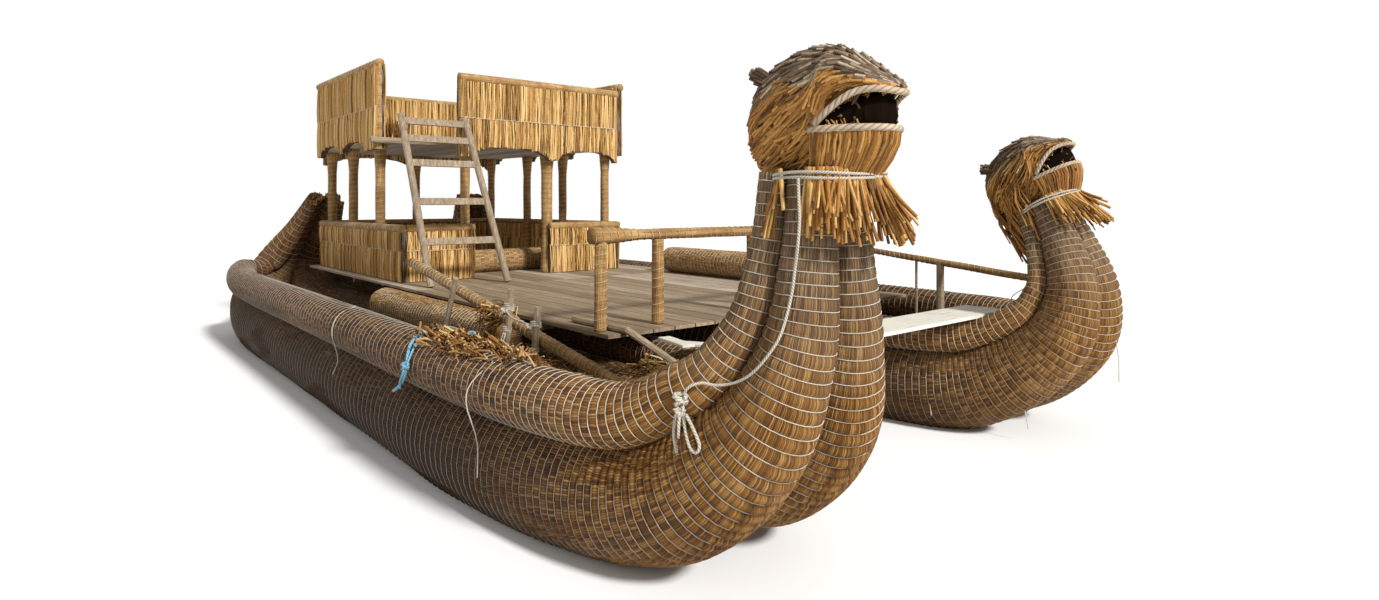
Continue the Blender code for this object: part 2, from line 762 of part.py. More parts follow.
def build_posts():
    """Reed-wrapped posts from the deck to the underside of the upper floor."""
    foot = DECK_TOP + GAP
    head = FLOOR_TOP - FLOOR_THICKNESS - GAP
    for name, x, y, radius in post_places():
        bar(f"post_{name}", [(x, y, foot), (x, y, foot + 0.25), (x, y, head - 0.35), (x, y, head)],
            [radius * FOOT_FLARE, radius, radius, radius * HEAD_FLARE], "reed", sides=12)


def scallops(length, bottom, arches, rise, steps=8):
    """Lower edge of a panel, from its far end back to its start, as arches between named places."""
    edge = []
    for low, high in reversed(arches):
        for step in range(steps + 1):
            turn = math.pi * step / steps
            along = (low + high) / 2 + (high - low) / 2 * math.cos(turn)
            edge.append((along, bottom + rise * math.sin(turn)))
    return [(length, bottom)] + edge + [(0.0, bottom)]


def wall(name, start, end, bottom, top, thickness, roll_radius, outward, arches=(), rolled_end=None):
    """An upright reed panel between two plan points of its middle plane, with its rolled top edge.

    The roll is flush with the panel's inner side; outward is 1 where that side lies to the left of the run from
    start to end, and -1 where it lies to the right. rolled_end is the share of the run with an upright roll.
    """
    run = Vector(end) - Vector(start)
    length = run.length
    lower = scallops(length, bottom, arches, ARCH_RISE) if arches else [(length, bottom), (0.0, bottom)]
    crown = top - roll_radius
    made = panel(name, [(0.0, crown), (length, crown)] + lower, thickness, (start[0], start[1], 0.0),
                 math.atan2(run.y, run.x), "reed")
    along = Vector((run.x, run.y, 0)) / length
    across = Vector((along.y, -along.x, 0)) * outward
    line = Vector((start[0], start[1], 0)) + across * (roll_radius - thickness / 2 + ROLL_SINK)
    ends = [line + along * place + Vector((0, 0, crown)) for place in (ROLL_SINK, length - ROLL_SINK)]
    rolls = [bar(f"{name}_top_roll", ends, roll_radius, "reed", sides=10, across=across)]
    if rolled_end is not None:
        place = line + along * (ROLL_SINK + roll_radius + rolled_end * (length - 2 * ROLL_SINK - 2 * roll_radius))
        ends = [place + Vector((0, 0, height)) for height in (bottom + ROLL_SINK, crown)]
        rolls.append(bar(f"{name}_end_roll", ends, roll_radius * END_ROLL_SHARE, "reed", sides=10, across=across))
    return union(made, rolls)


def build_walls():
    """Lower half-walls on the deck and the upper parapets, all outside the posts."""
    foot = DECK_TOP + GAP
    top = foot + WALL_HEIGHT
    low_out = POST_RADIUS * FOOT_FLARE + GAP + WALL_THICKNESS / 2
    front = FRONT_X + DOOR_POST_RADIUS * FOOT_FLARE + GAP + WALL_THICKNESS / 2
    back = BACK_X - low_out
    starboard = STARBOARD_Y - low_out
    clear = WALL_THICKNESS / 2 + GAP
    inner_port = low_out - WALL_THICKNESS / 2 - GAP
    lower = [
        ("wall_starboard", 1, (back - clear, starboard), (front + clear, starboard)),
        ("wall_front_starboard", 1, (front, starboard + clear), (front, DOOR_STARBOARD_Y + POST_RADIUS)),
        ("wall_front_port", 1, (front, DOOR_PORT_Y - 0.04), (front, port_line(front - clear, inner_port))),
        ("wall_port", -1, (back - clear, port_line(back - clear, low_out)),
         (front + clear, port_line(front + clear, low_out))),
        ("wall_back", -1, (back, starboard + clear), (back, port_line(back - clear, inner_port))),
    ]
    for name, outward, start, end in lower:
        wall(name, start, end, foot, top, WALL_THICKNESS, WALL_ROLL_RADIUS, outward)

    out = POST_RADIUS * HEAD_FLARE + GAP + PARAPET_THICKNESS / 2
    front = FRONT_X + DOOR_POST_RADIUS * HEAD_FLARE + GAP + PARAPET_THICKNESS / 2
    back = BACK_X - out
    starboard = STARBOARD_Y - out
    clear = PARAPET_THICKNESS / 2 + GAP
    inner_port = out - PARAPET_THICKNESS / 2 - GAP
    gap_port = NOTCH_PORT
    wall("parapet_starboard", (back - clear, starboard), (NOTCH_BACK, starboard),
         PARAPET_BOTTOM + 0.12, SIDE_PARAPET_TOP, PARAPET_THICKNESS, PARAPET_ROLL_RADIUS, 1,
         arches=((0.15, 1.25), (1.35, 2.45)), rolled_end=1.0)
    door = DOOR_PORT_Y - gap_port
    span = port_line(front - clear, inner_port) - gap_port
    wall("parapet_front", (front, gap_port), (front, gap_port + span), PARAPET_BOTTOM, FRONT_PARAPET_TOP,
         PARAPET_THICKNESS, PARAPET_ROLL_RADIUS, 1, arches=((0.14, door - 0.08), (door + 0.08, span - 0.05)),
         rolled_end=0.0)
    wall("parapet_port", (back - clear, port_line(back - clear, out)),
         (front + clear, port_line(front + clear, out)), PARAPET_BOTTOM + 0.12,
         SIDE_PARAPET_TOP - 0.1, PARAPET_THICKNESS, PARAPET_ROLL_RADIUS, -1,
         arches=((0.15, 1.3), (1.4, 2.45), (2.55, 3.5)))
    start = starboard + clear
    length = port_line(back - clear, inner_port) - start
    middle = -0.12 - start
    wall("parapet_back", (back, start), (back, start + length), PARAPET_BOTTOM, BACK_PARAPET_TOP,
         PARAPET_THICKNESS, PARAPET_ROLL_RADIUS, -1,
         arches=((0.12, middle - 0.08), (middle + 0.08, length - 0.1)))


def build_floor():
    """Upper floor with its notch for the ladder, and the log along the notch's edge."""
    edge = POST_RADIUS * HEAD_FLARE
    outline = [
        (BACK_X - edge, STARBOARD_Y - edge),
        (NOTCH_BACK, STARBOARD_Y - edge),
        (NOTCH_BACK, NOTCH_PORT),
        (FRONT_X + DOOR_POST_RADIUS * HEAD_FLARE, NOTCH_PORT),
        (FRONT_X + DOOR_POST_RADIUS * HEAD_FLARE, port_line(FRONT_X + DOOR_POST_RADIUS * HEAD_FLARE, edge)),
        (BACK_X - edge, port_line(BACK_X - edge, edge)),
    ]
    curve = bpy.data.curves.new("upper_floor", "CURVE")
    curve.dimensions = "2D"
    curve.fill_mode = "BOTH"
    curve.extrude = FLOOR_THICKNESS / 2
    spline = curve.splines.new("POLY")
    spline.points.add(len(outline) - 1)
    for target, (x, y) in zip(spline.points, outline):
        target.co = (x, y, 0.0, 1.0)
    spline.use_cyclic_u = True
    obj = bpy.data.objects.new("upper_floor", curve)
    obj.location = (0, 0, FLOOR_TOP - FLOOR_THICKNESS / 2)
    BOAT.objects.link(obj)
    finish(obj, "grey_wood")
    as_mesh_finished(obj, "grey_wood")
    x = NOTCH_BACK + GAP + STILE_RADIUS
    z = FLOOR_TOP - FLOOR_THICKNESS / 2
    bar("notch_log", [(x, STARBOARD_Y - 0.30, z), (x, NOTCH_PORT - GAP, z)], STILE_RADIUS, "grey_wood",
        across=(1, 0, 0))


def parapet_face():
    """Foremost line of the front parapet's upright edge roll, which the ladder leans on."""
    return FRONT_X + DOOR_POST_RADIUS * HEAD_FLARE + GAP + 2 * PARAPET_ROLL_RADIUS + ROLL_SINK


def ladder_point(stile, height):
    """A stile's place at a height: stile is its foot and head y."""
    foot = DECK_TOP + GAP
    share = (height - foot) / (LADDER_TOP - foot)
    head_x = parapet_face() + 1.12 * STILE_RADIUS
    return Vector((LADDER_FOOT_X + share * (head_x - LADDER_FOOT_X),
                   stile[0] + share * (stile[1] - stile[0]), height))


def build_ladder():
    """Two round stiles with flat rungs let into them."""
    foot = DECK_TOP + GAP
    stiles = []
    for name, stile in (("starboard", STARBOARD_STILE_Y), ("port", PORT_STILE_Y)):
        ends = [ladder_point(stile, foot + 0.4 * STILE_RADIUS), ladder_point(stile, LADDER_TOP)]
        stiles.append(stand(bar(f"stile_{name}", ends, STILE_RADIUS, "grey_wood", sides=12), foot))
    run = ladder_point(PORT_STILE_Y, foot) - ladder_point(PORT_STILE_Y, LADDER_TOP)
    lean = math.atan2(run.x, -run.z)
    rungs = []
    for index, height in enumerate(RUNG_HEIGHTS):
        left, right = ladder_point(STARBOARD_STILE_Y, height), ladder_point(PORT_STILE_Y, height)
        rungs.append(block(f"rung_{index}", (left.x - RUNG_THICKNESS / 2, left.y - 0.03, height - RUNG_WIDTH / 2),
                           (left.x + RUNG_THICKNESS / 2, right.y + 0.03, height + RUNG_WIDTH / 2),
                           "grey_wood", rotation=(0, -lean, 0)))
    ladder = finish(stiles[0], "grey_wood")
    ladder.name = "ladder"
    union(ladder, [stiles[1]] + rungs)


def build_front_rail():
    """Three wrapped posts on the deck, and the wrapped pole over them with its brace lashed on."""
    foot = DECK_TOP + GAP
    head = RAIL_TOP - RAIL_POLE_RADIUS - GAP
    for name, y in RAIL_POSTS:
        bar(f"rail_post_{name}", [(RAIL_X, y, foot), (RAIL_X, y, head)], RAIL_POST_RADIUS, "reed", sides=12)
    start = RAIL_POSTS[0][1] - 0.09
    pole = bar("rail_pole", [(RAIL_X, start, RAIL_TOP), (RAIL_X, RAIL_POLE_END, RAIL_TOP)], RAIL_POLE_RADIUS,
               "reed", sides=12, across=(1, 0, 0))
    x = RAIL_X + RAIL_POLE_RADIUS + BRACE_RADIUS - BRACE_LASHING
    brace = bar("rail_brace", [(x, BRACE_HEAD_Y, RAIL_TOP + 0.02), (x, BRACE_FOOT_Y, foot + BRACE_RADIUS)],
                BRACE_RADIUS, "reed", across=(1, 0, 0))
    union(pole, [stand(brace, foot)])


def build_rolls():
    """Reed roll on the port edge of the deck and the bench roll in the pavilion."""
    z = DECK_TOP + GAP + SIDE_ROLL_RADIUS
    aft, fore, y = SIDE_ROLL
    bar("side_roll", [(aft, y, z), (fore, y, z)], SIDE_ROLL_RADIUS, "reed", sides=12)
    z = DECK_TOP + GAP + BENCH_RADIUS
    low, high, x = BENCH
    bar("bench_roll", [(x, low, z), (x, high, z)], BENCH_RADIUS, "reed", sides=12, across=(1, 0, 0))


def build_loose_pieces():
    """What lies on the starboard hull: a thick roll, the wrapped pole on its stakes, and the spar."""
    y = -HULL_OFFSET
    aft, fore = LOOSE_ROLL
    roll = bar("loose_roll", [(aft, y, DECK_TOP), (fore, y, DECK_TOP)], LOOSE_ROLL_RADIUS, "reed", sides=12)
    settle(roll, ["starboard_filler_roll"])

    y = POLE_AFT[1]
    seat = square_seat(bundles("starboard"), POLE_FORE_X, y, POLE_RADIUS)
    bar("gunwale_pole", [POLE_AFT, (POLE_FORE_X, y, seat + POLE_RADIUS * 1.1)], POLE_RADIUS, "weathered_reed",
        sides=12)
    y -= POLE_RADIUS + STAKE_RADIUS + GAP
    for name, foot_x, head_x, length in STAKES:
        foot = AXIS_HEIGHT + BUNDLE_RADIUS
        stake = bar(f"stake_{name}", [(foot_x, y, foot), (head_x, y, foot + length)], STAKE_RADIUS, "grey_wood")
        settle(stake, bundles("starboard"))

    fore = Vector((*SPAR_FORE, square_seat(bundles("starboard"), *SPAR_FORE, SPAR_RADIUS) + 1.3 * SPAR_RADIUS))
    aft = Vector((*SPAR_AFT, DECK_TOP + SPAR_RADIUS + GAP))
    bar("spar", [aft, (DECK_FRONT + 0.05, aft.y, aft.z), fore], SPAR_RADIUS, "grey_wood")


def build_bow_pieces():
    """Board across both bows, and the pole with its two posts along the port bow."""
    aft, fore, low, high = BOW_BOARD
    z = max(inner_roll_seat(side, aft, fore) for side in SIDES) + GAP
    block("bow_board", (aft, low, z), (fore, high, z + BOARD_THICKNESS), "white_board")

    aft, fore = (Vector(end) for end in PORT_POLE)
    pole = bar("port_pole", [aft, fore], PORT_POLE_RADIUS, "grey_wood")
    posts = []
    for index, (x, radius) in enumerate(PORT_POLE_POSTS):
        place = aft.lerp(fore, (x - aft.x) / (fore.x - aft.x))
        foot = square_seat(bundles("port"), x, place.y, radius) + 2 * GAP
        posts.append(bar(f"port_pole_post_{index}", [(x, place.y, foot), place], radius, "grey_wood"))
    union(pole, posts)


def build_cords():
    """The blue rope over the starboard gunwale, and the slack line that hangs from the starboard neck."""
    cord("blue_rope", smooth_path(BLUE_ROPE, CORD_STEPS), BLUE_ROPE_RADIUS, "blue_rope")
    cord("neck_line", smooth_path(NECK_LINE, CORD_STEPS), NECK_LINE_RADIUS, "rope")


clear_scene()
BOAT = new_collection("Reed boat")
GUIDES = new_collection("Guides")

for hull_side in SIDES:
    build_hull(hull_side)
    build_head(hull_side)
    build_collar(hull_side)
LOG_HEIGHT, DECK_TOP = deck_levels()
build_deck()
build_posts()
build_walls()
build_floor()
build_ladder()
build_front_rail()
build_rolls()
build_loose_pieces()
build_bow_pieces()
build_cords()
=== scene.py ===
"""Looks of the reed boat: tied reed bundles, reed heads, woven pavilion, grey planks, ropes and loose straw.

Metres, +X to the bow, +Y to port, +Z up, origin amidships at the waterline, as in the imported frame.
"""
import json
import math

import bmesh
import bpy
import numpy as np
from bpy.props import FloatProperty, FloatVectorProperty, IntProperty, PointerProperty
from bpy.types import Operator, Panel, PropertyGroup
from mathutils import Matrix, Vector
from mathutils.bvhtree import BVHTree

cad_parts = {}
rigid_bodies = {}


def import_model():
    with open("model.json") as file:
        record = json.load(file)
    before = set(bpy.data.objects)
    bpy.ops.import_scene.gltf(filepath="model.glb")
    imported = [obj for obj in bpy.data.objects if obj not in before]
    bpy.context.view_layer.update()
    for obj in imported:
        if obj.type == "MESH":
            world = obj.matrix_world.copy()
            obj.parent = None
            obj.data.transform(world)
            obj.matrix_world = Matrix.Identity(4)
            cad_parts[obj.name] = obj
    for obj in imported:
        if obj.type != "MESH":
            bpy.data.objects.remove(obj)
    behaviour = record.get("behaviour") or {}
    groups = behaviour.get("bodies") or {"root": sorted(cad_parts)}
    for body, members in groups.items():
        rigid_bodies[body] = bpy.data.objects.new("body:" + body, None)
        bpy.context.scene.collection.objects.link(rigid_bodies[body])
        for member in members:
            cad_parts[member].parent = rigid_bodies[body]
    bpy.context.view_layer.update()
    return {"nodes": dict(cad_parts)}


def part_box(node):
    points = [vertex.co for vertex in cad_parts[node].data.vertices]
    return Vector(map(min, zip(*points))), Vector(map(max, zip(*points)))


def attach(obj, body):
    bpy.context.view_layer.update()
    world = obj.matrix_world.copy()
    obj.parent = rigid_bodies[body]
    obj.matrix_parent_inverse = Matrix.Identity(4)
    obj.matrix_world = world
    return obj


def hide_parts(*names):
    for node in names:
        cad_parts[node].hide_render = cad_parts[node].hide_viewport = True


bl_info = {
    "name": "Reed Boat Finish",
    "version": (1, 0, 0),
    "blender": (4, 5, 0),
    "location": "3D View > Sidebar > Reed Boat",
    "description": "Dresses a packed reed boat with tied reeds, twine, ropes and weathered wood",
    "category": "Object",
}

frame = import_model()
BODY = "root"

# The photograph's frame and horizon in its own pixels, and the camera that was fitted to it
PHOTO_WIDTH = 1379
PHOTO_HEIGHT = 600
HORIZON_ROW = 203
FOCAL_PIXELS = 750
SENSOR_WIDTH = 36
CAMERA_PLACE = (9.0, -5.254, 2.2)
CAMERA_TURN = (math.radians(90), 0, math.radians(49.3))

# Stage: half the floor's side, and the strength and tint of the light from all round
FLOOR_REACH = 120
WORLD_LIGHT = 0.42
WORLD_TINT = (1.0, 0.98, 0.95, 1.0)

# Hull members, as the solids have them: x, z of the hull's axis, bundle radius, gunwale roll radius,
# turn inboard
HULL_STATIONS = [
    (-5.05, 2.30, 0.13, 0.08, 1.00),
    (-5.45, 1.75, 0.20, 0.12, 0.75),
    (-5.75, 1.18, 0.30, 0.15, 0.40),
    (-5.50, 0.65, 0.42, 0.19, 0.10),
    (-4.60, 0.38, 0.49, 0.21, 0.00),
    (-3.20, 0.32, 0.50, 0.215, 0.00),
    (-1.00, 0.32, 0.50, 0.215, 0.00),
    (1.20, 0.32, 0.50, 0.215, 0.00),
    (3.40, 0.32, 0.50, 0.215, 0.00),
    (4.70, 0.36, 0.46, 0.21, 0.00),
]
PROW_STATIONS = {
    "starboard": [
        (5.60, 0.50, 0.39, 0.19, 0.00),
        (6.15, 0.90, 0.31, 0.16, 0.00),
        (6.38, 1.40, 0.21, 0.12, 0.00),
        (6.42, 1.90, 0.155, 0.09, 0.00),
        (6.42, 2.36, 0.13, 0.078, 0.00),
    ],
    "port": [
        (5.42, 0.50, 0.39, 0.19, 0.00),
        (5.95, 0.90, 0.31, 0.16, 0.00),
        (6.10, 1.36, 0.23, 0.13, 0.00),
        (5.98, 1.82, 0.17, 0.10, 0.00),
        (5.79, 2.20, 0.13, 0.08, 0.00),
    ],
}
SIDES = {"starboard": -1, "port": 1}
HULL_OFFSET = 2.05
STERN_INSET = {"starboard": 0.50, "port": 0.95}
SEAT_ANGLE = math.radians(60)
INNER_ROLL_RATIO = 0.70
TIES_OPEN_FROM = 5.2        # x where the ties begin to stand wider apart towards the stern
TIES_OPEN_OVER = 3.5
SWELL_FADES_FROM = 6.0      # x where the swell between the ties begins to fade towards the stern
SWELL_FADES_OVER = 1.6
SWELL_FADE = 0.72           # share of the swell that is gone aft
TIE_SHOULDER = 0.28         # share of the pitch at which the reeds beside a tie have swelled out
TIE_DEPTH = 0.75            # share of the swell that goes inwards at a tie
TWINE_DEPTH = 0.68          # how deep the twine lies in that pinch
HULL_RINGS = 32             # rings of the solids' hull lofts
DETAIL = {"starboard": 1.0, "port": 0.6}    # the far hull is seen smaller, so it has fewer faces

# Heads, in their own frame on the neck's top: +X to the nose
HEAD_LENGTH = 0.92
HEAD_WIDTH = 0.54
# x share of length, half width share, top and bottom over the neck's top
SKULL_SECTIONS = [
    (-0.50, 0.30, 0.38, 0.14),
    (-0.45, 0.64, 0.47, 0.03),
    (-0.33, 0.92, 0.59, -0.03),
    (-0.16, 1.00, 0.655, -0.03),
    (-0.02, 1.00, 0.665, -0.02),
    (0.10, 0.95, 0.65, 0.01),
    (0.145, 0.91, 0.635, 0.255),
    (0.24, 0.80, 0.59, 0.325),
    (0.34, 0.64, 0.515, 0.385),
    (0.43, 0.44, 0.46, 0.40),
    (0.475, 0.24, 0.435, 0.395),
    (0.49, 0.05, 0.415, 0.402),
]
MOUTH_CORNER = 6 / 11       # of the way along the skull's sections
# What shows inside the open mouth: the same columns
THROAT_SECTIONS = [
    (-0.06, 0.80, 0.36, 0.05),
    (0.10, 0.82, 0.36, 0.10),
    (0.24, 0.70, 0.38, 0.15),
    (0.34, 0.54, 0.395, 0.17),
    (0.41, 0.36, 0.395, 0.18),
    (0.445, 0.10, 0.37, 0.24),
]
# Upper lip from the mouth's corner to the nose: x, half width and height in metres
LIP = [
    (0.125, 0.265, 0.235),
    (0.218, 0.245, 0.312),
    (0.311, 0.200, 0.378),
    (0.390, 0.140, 0.396),
    (0.445, 0.070, 0.390),
    (0.462, 0.000, 0.385),
]
# Height over the neck's top, front, half width
JAW_RINGS = [
    (0.0, 0.285, 0.235),
    (0.05, 0.345, 0.25),
    (0.12, 0.395, 0.262),
    (0.21, 0.41, 0.258),
]
JAW_SWEEP = math.radians(76)    # how far the jaw's reeds go round from the front
# Neck tie and fringe under the jaw: front, back and half width, as shares of the bundle radius
TIE_FRONT = 2.2
TIE_BACK = 2.1
TIE_BREADTH = 2.42

# Pavilion panels that run fore and aft; the port ones slant outboard towards the bow
SIDE_PANELS = ("wall_starboard", "wall_port", "parapet_starboard", "parapet_port")
PORT_SLANT = (1.62 - 1.35) / 3.5
EDGE_PITCH = 0.15           # between the ties of the panels' rolled edges
EDGE_RINGS = 40
MAT_REED_RADIUS = 0.0068
RAY_REACH = 0.6             # how far from a panel's middle the rays start that look for its faces

# Wrapped poles and thick rolls: rings along a pole or roll and a post, the pitch of the wound twine, places
POLE_RINGS = 60
POST_RINGS = 34
WINDING_PITCH = 0.075
RAIL_X = 3.85
GUNWALE_POLE_Y = -2.24
PORT_POLE = ((3.35, 2.66, 1.60), (5.62, 2.36, 1.42))
ROLL_PITCH = 0.07           # between the ties of the thick rolls

# Widths of one plank on the deck and the upper floor
DECK_PLANK = 0.2323
FLOOR_PLANK = 0.18

# Cords: the routes of the solids
BLUE_ROPE_RADIUS = 0.013
BLUE_ROPE = [
    (3.175, -2.352, 0.985),
    (3.06, -2.358, 0.972),
    (2.95, -2.385, 0.965),
    (2.872, -2.435, 0.990),
    (2.865, -2.505, 1.045),
    (2.90, -2.60, 1.115),
    (2.96, -2.70, 1.1545),
    (3.00, -2.80, 1.1675),
    (3.02, -2.90, 1.1685),
    (3.08, -3.00, 1.1515),
    (3.14, -3.085, 1.100),
    (3.21, -3.135, 1.020),
    (3.23, -3.150, 0.945),
    (3.19, -3.150, 0.880),
    (3.10, -3.135, 0.805),
    (2.92, -3.105, 0.725),
    (2.73, -3.075, 0.655),
]
NECK_LINE_RADIUS = 0.008
NECK_LINE = [
    (6.500, -2.384, 2.325),
    (6.520, -2.402, 2.225),
    (6.545, -2.425, 2.120),
    (6.560, -2.452, 2.017),
    (6.535, -2.435, 1.940),
    (6.500, -2.410, 1.860),
    (6.480, -2.405, 1.761),
    (6.462, -2.425, 1.638),
    (6.440, -2.455, 1.527),
    (6.400, -2.490, 1.440),
    (6.340, -2.515, 1.360),
    (6.270, -2.535, 1.300),
    (6.190, -2.560, 1.262),
    (6.120, -2.605, 1.250),
    (6.075, -2.655, 1.262),
    (6.030, -2.700, 1.240),
    (5.990, -2.712, 1.190),
]
CORD_STEPS = 60

# Trim of the ropes, seen in the photograph. Knots: place, size, rope radius and seed
WHITE_KNOTS = [
    ((5.985, -2.725, 1.165), 0.032, 0.012, 2),
    ((5.99, -2.735, 1.10), 0.022, 0.011, 5),
    ((3.28, -2.36, 1.30), 0.026, 0.009, 3),
    ((3.70, -2.36, 1.22), 0.024, 0.009, 4),
    ((3.16, -2.35, 1.00), 0.02, 0.008, 6),
]
BLUE_KNOTS = [
    ((2.885, -2.47, 1.055), 0.034, 0.013, 7),
    ((3.235, -3.162, 0.95), 0.026, 0.010, 8),
]
GUNWALE_TAILS = [
    [(5.98, -2.72, 1.13), (5.955, -2.735, 1.05), (5.945, -2.735, 0.97), (5.95, -2.72, 0.88)],
    [(5.99, -2.72, 1.13), (6.00, -2.745, 1.07), (5.995, -2.745, 1.01), (5.985, -2.735, 0.97)],
    [(6.00, -2.72, 1.14), (6.03, -2.73, 1.03), (6.06, -2.725, 0.94), (6.10, -2.715, 0.915),
     (6.12, -2.71, 0.96), (6.08, -2.72, 1.04), (6.03, -2.725, 1.10)],
]
STAKE_TAILS = [
    [(3.28, -2.35, 1.31), (3.45, -2.38, 1.27), (3.62, -2.37, 1.25), (3.70, -2.35, 1.23)],
    [(3.25, -2.35, 1.12), (3.27, -2.40, 1.02), (3.30, -2.45, 0.94), (3.27, -2.47, 0.87)],
    [(3.28, -2.35, 1.12), (3.34, -2.42, 1.00), (3.36, -2.47, 0.90)],
    [(3.70, -2.35, 1.02), (3.60, -2.42, 1.00), (3.52, -2.47, 0.93), (3.44, -2.51, 0.86)],
]
# Rope wound round the stakes: its distance from their axis, its rise in a turn, then x, lowest z and turns
STAKE_Y = -2.313
WRAP_REACH = 0.038
WRAP_RISE = 0.016
STAKE_WRAPS = [(3.27, 1.30, 4), (3.24, 1.12, 3), (3.72, 1.22, 3), (3.69, 1.02, 2)]
BLUE_TAILS = [
    [(3.10, -2.36, 0.985), (3.00, -2.42, 1.03), (2.93, -2.55, 1.10), (2.99, -2.68, 1.165),
     (3.06, -2.80, 1.186), (3.09, -2.92, 1.178), (3.17, -3.03, 1.135), (3.24, -3.11, 1.06),
     (3.245, -3.155, 0.96)],
    [(3.235, -3.165, 0.95), (3.20, -3.172, 0.88), (3.10, -3.155, 0.80), (3.05, -3.135, 0.745)],
    [(2.89, -2.45, 1.05), (2.82, -2.40, 1.01), (2.76, -2.36, 0.98), (2.70, -2.34, 0.95)],
]
STRINGS = [
    [(5.35, -2.30, 1.02), (5.15, -2.36, 0.95), (5.0, -2.42, 0.88), (4.8, -2.52, 0.86)],
    [(5.60, -2.44, 1.20), (5.45, -2.38, 1.10), (5.35, -2.30, 1.02)],
    [(4.30, -2.96, 1.13), (4.28, -3.11, 1.00), (4.27, -3.135, 0.86), (4.25, -3.05, 0.60),
     (4.24, -3.045, 0.35)],
    [(1.10, -2.88, 1.165), (1.16, -3.06, 1.10), (1.22, -3.14, 0.94), (1.10, -3.05, 0.66),
     (0.95, -3.06, 0.48)],
    [(5.55, 1.78, 1.25), (5.50, 1.95, 1.30), (5.55, 2.20, 1.38), (5.60, 2.36, 1.43)],
    [(5.02, 1.22, 0.40), (5.04, 1.20, 0.28), (5.05, 1.21, 0.16)],
    [(5.75, 1.62, 0.36), (5.78, 1.60, 0.25), (5.80, 1.61, 0.12)],
    [(6.28, 2.34, 0.92), (6.30, 2.36, 0.74), (6.30, 2.37, 0.52)],
]
# Boxes of broken reeds: low and high corner, count, spread across, shortest and longest reed, spread upwards
STRAW_HEAPS = [
    ((3.35, -2.66, 0.86), (4.45, -2.36, 0.97), 420, 0.6, (0.10, 0.30), 0.35),
    ((3.60, -2.74, 0.98), (4.15, -2.46, 1.06), 180, 0.8, (0.08, 0.26), 0.5),
    ((2.70, -2.36, 1.15), (3.05, -2.10, 1.30), 110, 0.9, (0.08, 0.20), 0.6),
    ((4.5, -1.95, 0.92), (5.6, -1.75, 1.02), 160, 0.4, (0.12, 0.34), 0.35),
]
# Pale boards by the near gunwale: x, y, length, width and turn
PALE_BOARDS = [
    (4.66, -1.30, 0.55, 0.13, 0.5),
    (4.45, -1.48, 0.42, 0.11, -0.2),
    (5.02, -1.38, 0.5, 0.12, 0.9),
]


class ReedBoatSizes(PropertyGroup):
    """Sizes of the reed work that a user would change."""

    bundle_tie_pitch: FloatProperty(
        name="Bundle tie pitch", description="Distance between the twine rings of the big bundles",
        default=0.064, min=0.03, unit="LENGTH")
    roll_tie_pitch: FloatProperty(
        name="Roll tie pitch", description="Distance between the twine rings of the gunwale rolls",
        default=0.062, min=0.03, unit="LENGTH")
    twine_radius: FloatProperty(
        name="Twine radius", description="Radius of the white twine on the hulls",
        default=0.0037, min=0.001, unit="LENGTH")
    stem_radius: FloatProperty(
        name="Stem radius", description="Radius of one loose reed stem",
        default=0.0058, min=0.002, unit="LENGTH")
    mat_pitch: FloatProperty(
        name="Mat pitch", description="Distance between the upright reeds of the woven walls",
        default=0.0125, min=0.006, unit="LENGTH")
    tube_sides: IntProperty(
        name="Stem sides", description="Corners round one reed stem", default=4, min=3, max=8)


class ReedBoatColours(PropertyGroup):
    """Colours of the finishes."""

    reed_pale: FloatVectorProperty(
        name="Pale reed", description="Sun-bleached reed", subtype="COLOR", default=(0.46, 0.265, 0.095))
    reed_gold: FloatVectorProperty(
        name="Golden reed", description="Fresh dry reed", subtype="COLOR", default=(0.27, 0.118, 0.026))
    reed_brown: FloatVectorProperty(
        name="Brown reed", description="Old, damp reed", subtype="COLOR", default=(0.092, 0.040, 0.013))
    reed_grey: FloatVectorProperty(
        name="Grey reed", description="Reed weathered to grey", subtype="COLOR",
        default=(0.225, 0.155, 0.095))
    twine: FloatVectorProperty(
        name="Twine", description="Off-white twine", subtype="COLOR", default=(0.64, 0.58, 0.48))
    wood: FloatVectorProperty(
        name="Grey wood", description="Weathered raw wood", subtype="COLOR", default=(0.29, 0.21, 0.13))
    board: FloatVectorProperty(
        name="Pale board", description="Sawn boards", subtype="COLOR", default=(0.72, 0.68, 0.58))
    blue_rope: FloatVectorProperty(
        name="Blue rope", description="Light blue rope", subtype="COLOR", default=(0.22, 0.46, 0.62))


def sizes():
    """The size settings of the scene."""
    return bpy.context.scene.reed_boat_sizes


def colours():
    """The colour settings of the scene."""
    return bpy.context.scene.reed_boat_colours


# Shader helpers

class Value:
    """A shader socket that takes part in sums: each operation adds its Math node."""

    def __init__(self, shader, socket):
        self.shader = shader
        self.socket = socket

    def math(self, operation, other=None, swap=False):
        """The result of one Math node with this value and another."""
        sides = [self, other] if other is not None else [self]
        if swap:
            sides.reverse()
        return self.shader.node("ShaderNodeMath", {"operation": operation}, dict(enumerate(sides)))

    def __add__(self, other):
        return self.math("ADD", other)

    __radd__ = __add__

    def __sub__(self, other):
        return self.math("SUBTRACT", other)

    def __rsub__(self, other):
        return self.math("SUBTRACT", other, swap=True)

    def __mul__(self, other):
        return self.math("MULTIPLY", other)

    __rmul__ = __mul__

    def __truediv__(self, other):
        return self.math("DIVIDE", other)

    def between(self, low, high):
        """0 below low, 1 above high, smooth between."""
        return self.shader.node("ShaderNodeMapRange", {"interpolation_type": "SMOOTHSTEP"},
                                {"Value": self, "From Min": low, "From Max": high})


